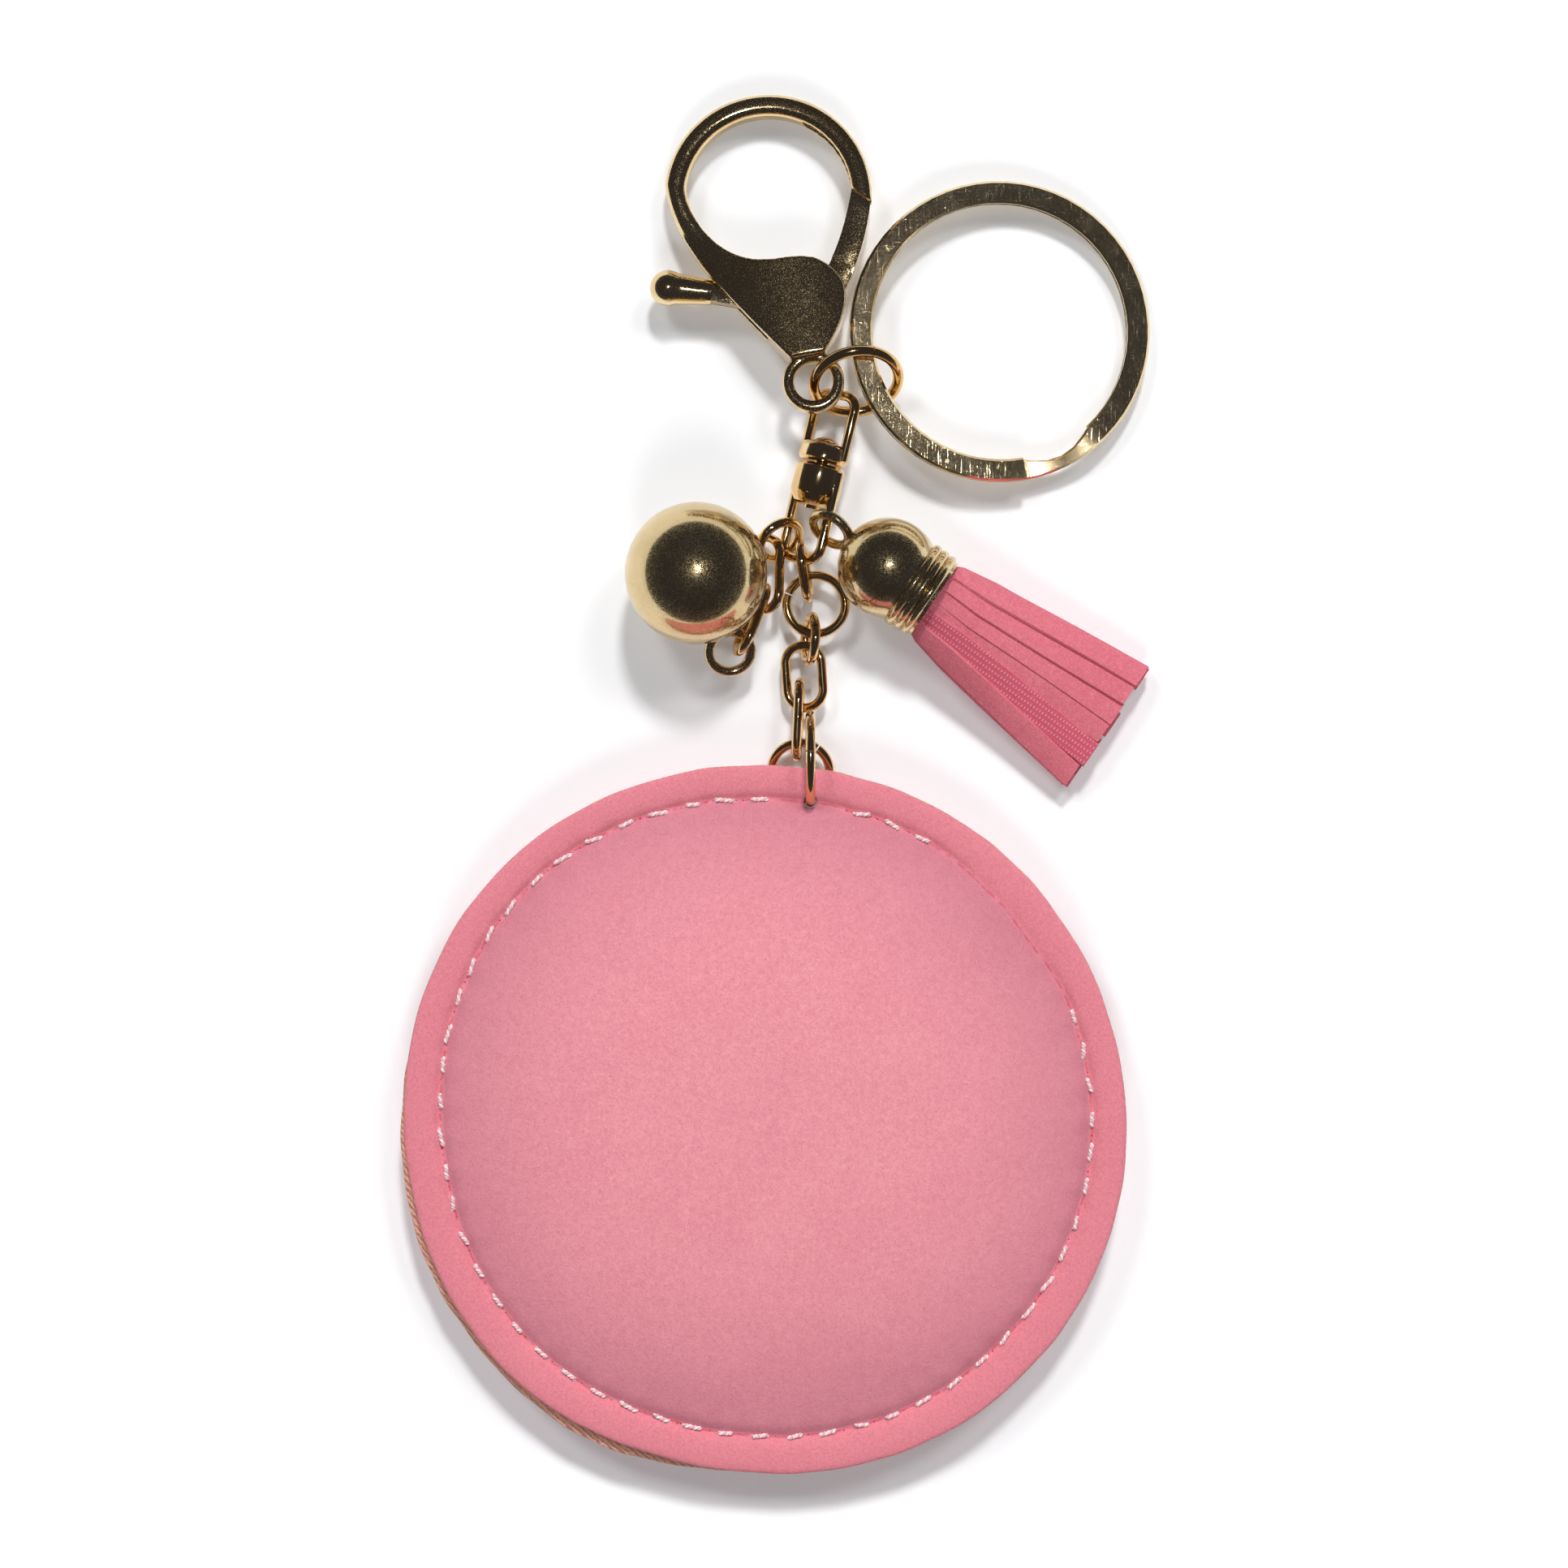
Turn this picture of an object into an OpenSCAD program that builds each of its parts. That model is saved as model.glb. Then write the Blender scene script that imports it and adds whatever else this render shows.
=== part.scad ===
// Bag-charm keychain: lobster clasp, split key ring, swivel, chain, ball,
// tassel and a padded suede disc, laid out flat as one linked assembly.
// Millimetres. X to the right, Y towards the clasp, Z up from the table.

/* [Overall] */
// Outer diameter of the padded disc
disc_d = 71; // [50:0.5:90]
// Outer diameter of the split key ring
key_ring_d = 30; // [24:0.5:38]
// Outer diameter of the clasp hook
hook_d = 20.6; // [17:0.2:25]
// Diameter of the ball charm
ball_d = 14.1; // [10:0.1:17]
// Diameter of the tassel's ball cap
cap_d = 10; // [8:0.1:12]

/* [Clasp] */
// Radial width of the hook's bar
hook_w = 2; // [1.4:0.1:2.6]
// Depth of the hook's bar, front to back
hook_depth = 3; // [2:0.1:4]
// Corner radius of the hook's bar
hook_round = 0.8; // [0.3:0.05:1]
// Thickness of the clasp body on its centre line
body_t = 4.6; // [3.6:0.1:6]
// Radius of the crowned front and back of the body
body_crown = 26; // [16:1:60]
// Hook centre to eye centre
eye_reach = 19.1; // [17:0.1:24]
// Lean of the clasp to the left, degrees
clasp_lean = 13.6; // [0:0.1:30]
// Inner diameter of the eye
eye_bore = 4; // [3.2:0.1:5]
// Radial wall of the eye
eye_wall = 1; // [0.7:0.05:1.5]
// Depth of the eye, front to back
eye_depth = 1.8; // [1.2:0.1:3]
// Thickness of the lever where it runs in the slot
lever_t = 1.6; // [1.2:0.1:2.2]
// Depth of the lever's gate outside the body
gate_depth = 2.6; // [1.8:0.1:3.4]
// Diameter of the thumb knob
knob_d = 3.6; // [2.4:0.1:4.4]
// Diameter of the pivot pin
pin_d = 1; // [0.7:0.05:1.4]
// Lever travel that the slot leaves room for, degrees
lever_travel = 22; // [12:1:28]
// Wire of the lever's return spring
spring_wire = 0.3; // [0.2:0.05:0.4]
// Turns of the return spring
spring_turns = 2; // [1:1:3]

/* [Rings and links] */
// Wire of the connector ring
connector_wire = 1.1; // [0.8:0.05:1.3]
// Outer diameter of the connector ring
connector_d = 9.6; // [8:0.1:12]
// Wire of the chain rings and links
chain_wire = 0.95; // [0.6:0.05:1.1]
// Outer diameter of the small jump rings
small_ring_d = 5.4; // [4.6:0.1:6.4]
// Outer diameter of the middle jump rings
middle_ring_d = 6.8; // [6:0.1:8]
// Outer diameter of the ring through the disc
disc_ring_d = 9.55; // [8:0.05:11]
// Outer width of the oval links
link_w = 4.6; // [4:0.1:5.4]
// Butt gap of the bent rings
butt_gap = 0.12; // [0.05:0.01:0.3]
// Radial width of the key ring's band
band_w = 2.2; // [1.6:0.1:3]
// Thickness of one turn of the band
band_t = 0.96; // [0.7:0.02:1.3]
// Gap between the two turns
turn_gap = 0.08; // [0.05:0.01:0.2]
// Arc of the cranked stretch between the turns, degrees
crank_arc = 33; // [20:1:50]
// Width that is left in the crank's middle
crank_w = 1.2; // [0.8:0.1:2.2]

/* [Swivel] */
// Diameter of the swivel collars
collar_d = 5; // [4:0.1:6.4]
// Height of the upper collar
collar_upper_h = 1.95; // [1.2:0.05:3]
// Height of the lower collar with its rounded shoulder
collar_lower_h = 4.2; // [3:0.1:5.4]
// Gap between the collars
collar_gap = 0.2; // [0.1:0.05:0.4]
// Distance from the collar gap to the end of the upper and the lower bail
bail_reach = [7.65, 10.15]; // [6:0.05:12]
// Width of the bails over their legs
bail_w = 5.6; // [4.6:0.1:7]
// Wire of the bails
bail_wire = 1; // [0.7:0.05:1.2]
// Bend radius of the bail corners, to the wire's middle
bail_bend = 1.4; // [1:0.1:2]
// Diameter of the rivet's shank
rivet_d = 1.6; // [1.2:0.1:2.2]
// Diameter of the rivet's head
rivet_head_d = 2.6; // [2:0.1:3.4]

/* [Charms] */
// Wire of the eyes on the ball and the tassel cap
charm_eye_wire = 1; // [0.7:0.05:1.2]
// Outer diameter of the ball's eye
ball_eye_d = 5.2; // [4.4:0.1:6]
// Outer diameter of the cap's eye
cap_eye_d = 5; // [4.4:0.1:6]
// Length of the cap from the middle of its ball to its rim
cap_len = 5.6; // [4.6:0.1:8]
// Wall of the cap's cup
cap_wall = 0.55; // [0.4:0.05:1]
// Length of the fringe below the rim
fringe_len = 21; // [14:0.5:30]
// Width of the fringe at its end
fringe_w = 14; // [9:0.5:18]
// Thickness of the suede strips
strip_t = 0.8; // [0.5:0.05:1.2]
// Strips in the outer row
outer_strips = 11; // [7:1:14]
// Strips in the inner row
inner_strips = 5; // [3:1:7]

/* [Disc] */
// Thickness of the disc over its crowns
disc_t = 9.4; // [7:0.1:14]
// Thickness of each suede panel
panel_t = 0.9; // [0.6:0.05:1.4]
// Width of the flange outside the seam
flange_w = 3.5; // [2.5:0.1:5]
// Radius of the flat patch that the disc lies on
rest_r = 17; // [8:0.5:24]
// Diameter of the stitching thread
thread_d = 0.5; // [0.3:0.05:0.7]
// Stitch pitch along the seam
stitch_pitch = 3.4; // [2.5:0.1:5]
// Length of the thread that shows in each stitch
stitch_len = 1.6; // [0.8:0.1:3]
// Diameter of the punched hole for the disc ring
hole_d = 1.6; // [1.3:0.05:2.2]
// Distance from the disc's edge to the punched hole
hole_inset = 3.8; // [3:0.1:6]
// Direction of the hole from the disc's middle, degrees
hole_dir = 82.4; // [70:0.1:110]
// First and last direction of the stretch where the thread is sunk, degrees
sunk_from_to = [24, 55]; // [0:1:180]

/* [Clearances] */
// Free play beside the lever and between the swivel's parts
run_gap = 0.15; // [0.1:0.01:0.3]
// Radial play of the pin in the lever and of the rivet in the upper collar
pin_play = 0.06; // [0.02:0.01:0.1]
// Free play between a thread and its groove, and round the padding
seam_gap = 0.03; // [0.02:0.01:0.1]

/* [Layout] */
// Middle of the clasp's eye
eye_at = [3.4, 39.65, 4.6]; // [-80:0.05:80]
// Middle of the connector ring
connector_at = [7.65, 39.8, 3.85]; // [-80:0.05:80]
// Tilt about X and turn about Z of the connector ring
connector_turn = [49.7, 10.6]; // [-180:0.1:180]
// Middle of the key ring's band inside the connector ring
band_at = [8.76, 40.67, 3.35]; // [-80:0.01:80]
// Direction from that place to the key ring's middle, degrees
key_dir = 17.7; // [-60:0.1:60]
// Middle of the swivel's collar gap in plan
swivel_at = [4.24, 31.65]; // [-80:0.01:80]
// Lean of the swivel to the right, degrees
swivel_lean = 13.3; // [-30:0.1:30]
// Dip of the swivel's upper end, degrees
swivel_dip = 2; // [-6:0.1:6]
// Roll of the upper and the lower bail, degrees
bail_roll = [32, 36]; // [0:0.5:60]
// Middle of the ball's eye
ball_eye_at = [-4.88, 12.94, 3.73]; // [-80:0.01:80]
// Heading of the ball from its eye, degrees
ball_dir = 113.4; // [60:0.1:180]
// Middle of the tassel cap's ball in plan
cap_at = [10.77, 21.24]; // [-80:0.01:80]
// Heading, rise and roll of the cap's eye, degrees
cap_turn = [145.7, -5, -57.8]; // [-180:0.1:180]
// Place of the ball branch's jump ring
ball_ring_at = [0.05, 24.13, 2.24]; // [-80:0.01:80]
// Heading, rise and roll of the ball branch's jump ring
ball_ring_turn = [34.9, -4.1, 51.7]; // [-180:0.1:180]
// Place of the ball branch's first link
ball_link_1_at = [-1.5, 20.73, 2.23]; // [-80:0.01:80]
// Heading, rise and roll of the ball branch's first link
ball_link_1_turn = [-91.4, 8.3, 32.6]; // [-180:0.1:180]
// Place of the ball branch's second link
ball_link_2_at = [-2.74, 16.17, 2.92]; // [-80:0.01:80]
// Heading, rise and roll of the ball branch's second link
ball_link_2_turn = [-110.9, 19.9, 75.2]; // [-180:0.1:180]
// Place of the chain's first link
chain_1_at = [2.53, 21.03, 2.61]; // [-80:0.01:80]
// Heading, rise and roll of the chain's first link
chain_1_turn = [-81.3, -6.1, 96.1]; // [-180:0.1:180]
// Place of the chain's second piece, a round ring
chain_2_at = [3.67, 17.68, 2.1]; // [-80:0.01:80]
// Heading, rise and roll of the chain's second piece
chain_2_turn = [-90.2, 0, 4.7]; // [-180:0.1:180]
// Place of the chain's third piece, a round ring
chain_3_at = [3.1, 14.26, 2.66]; // [-80:0.01:80]
// Heading, rise and roll of the chain's third piece
chain_3_turn = [-93.5, 2.1, 77.1]; // [-180:0.1:180]
// Place of the chain's fourth link
chain_4_at = [2.5, 10.5, 1.93]; // [-80:0.01:80]
// Heading, rise and roll of the chain's fourth link
chain_4_turn = [-86, -0.9, 9]; // [-180:0.1:180]
// Place of the chain's fifth link
chain_5_at = [1.9, 6.22, 2.32]; // [-80:0.01:80]
// Heading, rise and roll of the chain's fifth link
chain_5_turn = [-92.8, -0.1, 92.2]; // [-180:0.1:180]
// Place of the ring behind the disc
back_ring_at = [2.14, 1.08, 1.29]; // [-80:0.01:80]
// Heading, rise and roll of the ring behind the disc
back_ring_turn = [-83.2, -14.3, 6.8]; // [-180:0.1:180]
// Place where the disc ring passes through the disc, in plan
hole_at = [3.1, -2]; // [-80:0.05:80]
// Lengths of the chain's first, fourth and fifth link
chain_lens = [6.4, 7.2, 8.4]; // [4:0.1:12]
// Lengths of the ball branch's first and second link
branch_lens = [8.4, 8.2]; // [4:0.1:12]

/* [Hidden] */
$fn = 48;
eps = 0.01;

hook_r = hook_d / 2;
hook_mid_r = hook_r - hook_w / 2;
eye_mid_r = eye_bore / 2 + eye_wall / 2;
clasp_dir = [sin(clasp_lean), -cos(clasp_lean)];
eye_local = eye_reach * clasp_dir;
// The hook's far edge lies on the table, and the eye is held up by the rings in it.
clasp_pitch = asin((eye_at.z - hook_depth / 2) / (eye_reach + hook_r));
hook_at = [eye_at.x - clasp_dir.x * eye_reach * cos(clasp_pitch),
    eye_at.y - clasp_dir.y * eye_reach * cos(clasp_pitch),
    eye_at.z - eye_reach * sin(clasp_pitch)];
// Body outline points scale with the hook and the eye's reach.
hs = hook_d / 20.6;
bs = eye_reach / 19.1;
pivot = [4.8 * hs, -10.8 * bs];
hub_r = pin_d / 2 + 1.35;
room_w = hub_r + run_gap;
knob_at = sc([-10, -9]);
arm_dir = atan2(knob_at.y - pivot.y, knob_at.x - pivot.x);
gate_dir = 52;
// The gate is deeper outside a circle that clears the body over the lever's travel.
gate_step = norm(sc([4.6, -6.4]) - pivot) + 0.4;
slot_t = lever_t + 2 * run_gap;
spring_r = pin_d / 2 + spring_wire / 2 + 0.12;
spring_rise = 1.2 * spring_wire;
spring_room = spring_turns * spring_rise + spring_wire + 0.12;
lip_gap = 0.2;

key_mid_r = key_ring_d / 2 - band_w / 2;
key_t = 2 * band_t + turn_gap;
key_tilt = asin((band_at.z - key_t / 2) / (key_ring_d / 2 + key_mid_r));
key_at = [band_at.x + key_mid_r * cos(key_tilt) * cos(key_dir),
    band_at.y + key_mid_r * cos(key_tilt) * sin(key_dir),
    band_at.z - key_mid_r * sin(key_tilt)];
key_end_dir = 280;

// The tipped swivel lies on the edge of its upper collar.
swivel_z = collar_d / 2 * cos(swivel_dip) + (collar_gap / 2 + collar_upper_h) * sin(swivel_dip);
bail_half = bail_w / 2 - bail_wire / 2;
rivet_head_h = 0.55;

ball_r = ball_d / 2;
ball_stand = ball_r + ball_eye_d / 2 - charm_eye_wire + 0.35;
ball_drop = asin((ball_eye_at.z - ball_r) / ball_stand);
ball_at = [ball_eye_at.x + ball_stand * cos(ball_drop) * cos(ball_dir),
    ball_eye_at.y + ball_stand * cos(ball_drop) * sin(ball_dir), ball_r];

cap_r = cap_d / 2;
cap_stand = cap_r + cap_eye_d / 2 - charm_eye_wire + 0.3;
cup_r = 0.85 * cap_r;
cup_bore = cup_r - cap_wall;

disc_r = disc_d / 2;
seam_r = disc_r - flange_w;
seam_z = disc_t / 2 + 0.1;
hole_r = disc_r - hole_inset;
disc_at = [hole_at.x - hole_r * cos(hole_dir), hole_at.y - hole_r * sin(hole_dir)];
pad_r = seam_r - 1.4;
stitch_n = floor(360 / (stitch_pitch / seam_r * 180 / PI));
disc_ring_mid_r = disc_ring_d / 2 - chain_wire / 2;

// The drawing origin is moved to the middle of the object's box.
mid_x = (disc_at.x - disc_r + key_at.x + key_ring_d / 2) / 2;
mid_y = (disc_at.y - disc_r + hook_at.y + hook_r) / 2;

gold = [0.86, 0.74, 0.49];
steel = [0.75, 0.75, 0.77];
suede = [0.89, 0.47, 0.56];
thread = [0.95, 0.85, 0.86];
foam = [0.95, 0.94, 0.9];

function bez(a, b, c, d, n) = [for (i = [0:n]) let (t = i / n, u = 1 - t)
    u * u * u * a + 3 * u * u * t * b + 3 * u * t * t * c + t * t * t * d];
function smooth(t) = t * t * (3 - 2 * t);
function mix(a, b, t) = a + (b - a) * t;
function dir(a) = [cos(a), sin(a)];
function sc(p) = [p.x * hs, p.y * (p.y < 0 ? bs : hs)];

// A closed skin through rings of points that all have the same count.
module skin(rings) {
    m = len(rings[0]);
    n = len(rings);
    sides = [for (i = [0:n - 2]) for (j = [0:m - 1]) let (k = (j + 1) % m)
        each [[i * m + j, (i + 1) * m + k, i * m + k], [i * m + j, (i + 1) * m + j, (i + 1) * m + k]]];
    first = [for (j = [1:m - 2]) [0, j, j + 1]];
    last = [for (j = [1:m - 2]) [(n - 1) * m, (n - 1) * m + j + 1, (n - 1) * m + j]];
    polyhedron([for (r = rings) each r], concat(sides, first, last));
}

module in_frame() translate([-mid_x, -mid_y, 0]) children();

// Long axis along heading, lifted by rise, then rolled about itself.
module place(at, turn) in_frame() translate(at) rotate([0, 0, turn[0]]) rotate([0, -turn[1], 0])
    rotate([turn[2], 0, 0]) children();

module jump_ring(od, wire, cut = 0) rotate([0, 0, cut])
    rotate_extrude(angle = 360 - butt_gap / (od / 2 - wire / 2) * 180 / PI)
        translate([od / 2 - wire / 2, 0]) circle(d = wire);

module oval_link(l, w, wire) {
    r = w / 2 - wire / 2;
    for (s = [0, 180]) rotate([0, 0, s]) {
        translate([l / 2 - w / 2, 0, 0]) rotate([0, 0, -90]) rotate_extrude(angle = 180)
            translate([r, 0]) circle(d = wire);
        translate([-(l - w) / 2, r, 0]) rotate([0, 90, 0]) cylinder(d = wire, h = l - w);
    }
}

module rounded_bar(w, h, r) {
    square([w - 2 * r, h], center = true);
    square([w, h - 2 * r], center = true);
    for (x = [-1, 1], y = [-1, 1]) translate([x * (w / 2 - r), y * (h / 2 - r)]) circle(r = r);
}

// Origin at the hook's middle, with the eye end lifted by the clasp's pitch.
module clasp_place() in_frame() translate(hook_at)
    rotate(a = clasp_pitch, v = [clasp_dir.y, -clasp_dir.x, 0]) children();

module clasp_outline() polygon([for (p = concat(
    bez([-10.25, 1.6], [-9.6, -4.6], [-5.2, -8.8], [2.2, -16.4], 14),
    bez([5.6, -15.8], [7.6, -12.4], [9.3, -8.2], [4.6, -6.4], 12),
    bez([4.6, -6.4], [2.6, -6], [1, -6.75], [-1, -6.6], 6),
    bez([-1, -6.6], [-4.5, -6.4], [-8.2, -2.9], [-8.35, 1.6], 12))) sc(p)]);

// Long round that crowns the front (1) or the back (-1) of the body.
module crown(side) translate([0, 0, side * (body_t / 2 - body_crown)]) rotate([90, 0, clasp_lean])
    cylinder(r = body_crown, h = 60, center = true, $fn = 120);

// The hook's slanted end and the gate's matching end, on the two sides of one line.
module at_lip() translate([9.25 * hs, 0.2 * hs, 0]) rotate([0, 0, -35]) children();
module below_lip() at_lip() translate([-4, -8, -4]) cube([8, 8, 8]);
module above_lip() at_lip() translate([-6, -lip_gap, -4]) cube([12, 8, 8]);

// Room in the slot for an arm of the lever that swings from one direction to another.
module lever_room(from, to) polygon([pivot + room_w * dir(from - 90),
    pivot + 20 * dir(from) + room_w * dir(from - 90), pivot + 20 * dir(to) + room_w * dir(to + 90),
    pivot + room_w * dir(to + 90)]);

module gate_outline() polygon([for (p = concat(
    bez([10.3, 1], [10.1, -3.4], [8.9, -7.6], [6.4, -11.4], 10),
    bez([4.4, -9.4], [6.6, -6.6], [7.6, -3.4], [8.35, 1], 10))) sc(p)]);

module arm_outline() polygon([for (p = [[4.8, -9.3], [-6.2, -8.6], [-6.2, -10.4], [4.8, -12.3]]) sc(p)]);

module lever_outline() {
    translate(pivot) circle(r = hub_r);
    gate_outline();
    arm_outline();
}

module clasp_body() color(gold) clasp_place() difference() {
    union() {
        difference() {
            rotate([0, 0, -8]) rotate_extrude(angle = 181) translate([hook_mid_r, 0])
                rounded_bar(hook_w, hook_depth, hook_round);
            below_lip();
        }
        intersection() {
            translate([0, 0, -body_t / 2]) linear_extrude(body_t) clasp_outline();
            crown(1);
            crown(-1);
        }
        translate(eye_local) rotate_extrude() translate([eye_mid_r, 0])
            rounded_bar(eye_wall, eye_depth, eye_wall * 0.4);
    }
    translate([0, 0, -slot_t / 2]) linear_extrude(slot_t) {
        translate(pivot) circle(r = hub_r + run_gap);
        lever_room(arm_dir, arm_dir + lever_travel);
        lever_room(gate_dir, gate_dir + lever_travel + 14);
    }
    translate(pivot) cylinder(d = pin_d, h = body_t * 2, center = true);
    translate(eye_local) cylinder(d = eye_bore, h = body_t * 2, center = true);
}

module clasp_lever() color(gold) clasp_place() difference() {
    union() {
        difference() {
            union() {
                translate([0, 0, -lever_t / 2]) linear_extrude(lever_t) lever_outline();
                difference() {
                    translate([0, 0, -gate_depth / 2]) linear_extrude(gate_depth) gate_outline();
                    translate(pivot) cylinder(r = gate_step, h = 10, center = true);
                }
            }
            above_lip();
        }
        neck = sc([-5.6, -9.5]) - knob_at;
        translate([knob_at.x, knob_at.y, 0]) rotate([0, 90, atan2(neck.y, neck.x)])
            rotate_extrude() difference() {
                union() {
                    circle(d = knob_d);
                    polygon([[0, 0], [knob_d * 0.46, 0], [lever_t * 0.76, norm(neck)], [0, norm(neck)]]);
                }
                translate([-knob_d, -knob_d]) square([knob_d, knob_d + 2 * norm(neck)]);
            }
    }
    translate(pivot) cylinder(r = pin_d / 2 + pin_play, h = body_t * 2, center = true);
    translate([pivot.x, pivot.y, lever_t / 2 - spring_room])
        cylinder(r = spring_r + spring_wire / 2 + 0.12, h = body_t);
}

module clasp_pivot_pin() color(steel) clasp_place() translate(pivot)
    cylinder(d = pin_d, h = body_t - 0.5, center = true);

module clasp_spring() color(steel) clasp_place()
    translate([pivot.x, pivot.y, lever_t / 2 - spring_room / 2]) {
    steps = 14;
    skin([for (i = [0:spring_turns * steps]) let (a = 360 * i / steps,
        z = spring_rise * (i / steps - spring_turns / 2))
        [for (j = [0:5]) let (b = 60 * j, r = spring_r + spring_wire / 2 * cos(b))
            [r * cos(a), r * sin(a), z + spring_wire / 2 * sin(b)]]]);
}

module connector_ring() color(gold) in_frame() translate(connector_at)
    rotate([0, 0, connector_turn[1]]) rotate([connector_turn[0], 0, 0])
        jump_ring(connector_d, connector_wire, 62);

// One flat wire of two turns, with a crank where it drops from the upper to the lower turn.
module key_ring() color(gold) in_frame() translate(key_at) rotate([0, 0, key_dir])
    rotate([0, key_tilt, 0]) rotate([0, 0, key_end_dir - key_dir]) {
        n = 114;
        sweep = 720 - crank_arc;
        top = band_t / 2 + turn_gap / 2;
        e = 0.22;
        skin([for (i = [0:n]) let (a = sweep * i / n,
            t = max(0, min(1, (a - 360 + crank_arc) / crank_arc)),
            z = mix(top, -top, smooth(t)),
            w = band_w - (band_w - crank_w) * sin(180 * t),
            o = key_ring_d / 2, h = band_t / 2)
            [for (p = [[o - w, e - h], [o - w + e, -h], [o - e, -h], [o, e - h],
                [o, h - e], [o - e, h], [o - w + e, h], [o - w, h - e]])
                [p.x * cos(-a), p.x * sin(-a), z + p.y]]]);
    }

// Swivel axis along Y, with the collar gap at the origin.
module swivel_place(roll) in_frame() translate([swivel_at.x, swivel_at.y, swivel_z])
    rotate([0, 0, -swivel_lean]) rotate([-swivel_dip, 0, 0]) rotate([0, -roll, 0]) children();

module bail(from, reach) {
    for (s = [-1, 1]) {
        translate([s * bail_half, from, 0]) rotate([-90, 0, 0])
            cylinder(d = bail_wire, h = reach - bail_wire / 2 - bail_bend - from);
        translate([s * (bail_half - bail_bend), reach - bail_wire / 2 - bail_bend, 0])
            rotate([0, s > 0 ? 0 : 180, 0]) rotate_extrude(angle = 90) translate([bail_bend, 0])
                circle(d = bail_wire);
    }
    translate([-(bail_half - bail_bend), reach - bail_wire / 2, 0]) rotate([0, 90, 0])
        cylinder(d = bail_wire, h = 2 * (bail_half - bail_bend));
}

module collar(h, shoulder) rotate([-90, 0, 0]) rotate_extrude() polygon([[0, 0],
    [collar_d / 2 - 0.35, 0], [collar_d / 2, 0.35], [collar_d / 2, h - shoulder],
    [collar_d / 2 - 0.45 * shoulder, h - 0.25 * shoulder], [collar_d / 2 - shoulder, h], [0, h]]);

module swivel_upper() color(gold) swivel_place(bail_roll[0]) difference() {
    union() {
        translate([0, collar_gap / 2, 0]) collar(collar_upper_h, 0.5);
        bail(collar_gap / 2 + 0.5, bail_reach[0]);
    }
    rotate([-90, 0, 0]) cylinder(r = rivet_d / 2 + pin_play, h = 3 * collar_upper_h, center = true);
}

module swivel_lower() color(gold) swivel_place(bail_roll[1]) mirror([0, 1, 0]) difference() {
    union() {
        translate([0, collar_gap / 2, 0]) collar(collar_lower_h, 1.3);
        bail(collar_gap / 2 + 0.5, bail_reach[1]);
    }
    rotate([-90, 0, 0]) cylinder(d = rivet_d, h = 4 * collar_lower_h, center = true);
}

module swivel_rivet() color(gold) swivel_place(0) rotate([-90, 0, 0]) {
    up = collar_gap / 2 + collar_upper_h + run_gap;
    translate([0, 0, -collar_gap / 2 - collar_lower_h - 0.3])
        cylinder(d = rivet_d, h = up + collar_gap / 2 + collar_lower_h + 0.3 + eps);
    translate([0, 0, up]) rotate_extrude() intersection() {
        translate([0, rivet_head_h - rivet_head_d * 0.72]) circle(d = rivet_head_d * 1.44);
        square([rivet_head_d / 2, rivet_head_h]);
    }
}

module ball_ring() color(gold) place(ball_ring_at, ball_ring_turn)
    jump_ring(small_ring_d, chain_wire, 200);
module ball_link_1() color(gold) place(ball_link_1_at, ball_link_1_turn)
    oval_link(branch_lens[0], link_w, chain_wire);
module ball_link_2() color(gold) place(ball_link_2_at, ball_link_2_turn)
    oval_link(branch_lens[1], link_w, chain_wire);
module chain_link_1() color(gold) place(chain_1_at, chain_1_turn)
    oval_link(chain_lens[0], link_w, chain_wire);
module chain_ring_2() color(gold) place(chain_2_at, chain_2_turn)
    jump_ring(middle_ring_d, chain_wire, 250);
module chain_ring_3() color(gold) place(chain_3_at, chain_3_turn)
    jump_ring(small_ring_d, chain_wire, 120);
module chain_link_4() color(gold) place(chain_4_at, chain_4_turn)
    oval_link(chain_lens[1], link_w, chain_wire);
module chain_link_5() color(gold) place(chain_5_at, chain_5_turn)
    oval_link(chain_lens[2], link_w, chain_wire);
module back_ring() color(gold) place(back_ring_at, back_ring_turn)
    jump_ring(middle_ring_d, chain_wire, 140);
module disc_ring() color(gold) place([hole_at.x, hole_at.y + disc_ring_mid_r, seam_z], [-90, 0, 90])
    jump_ring(disc_ring_d, chain_wire, 100);

module ball_charm() color(gold) in_frame() translate(ball_at)
    rotate([0, 0, ball_dir + 180]) rotate([0, -ball_drop, 0]) {
        sphere(d = ball_d, $fn = 96);
        translate([ball_stand, 0, 0]) rotate_extrude()
            translate([ball_eye_d / 2 - charm_eye_wire / 2, 0]) circle(d = charm_eye_wire);
    }

// Tassel axis along X, with the eye on the positive side of the cap's ball.
module cap_place() in_frame() translate([cap_at.x, cap_at.y, cap_r]) rotate([0, 0, cap_turn[0]]) children();

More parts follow.
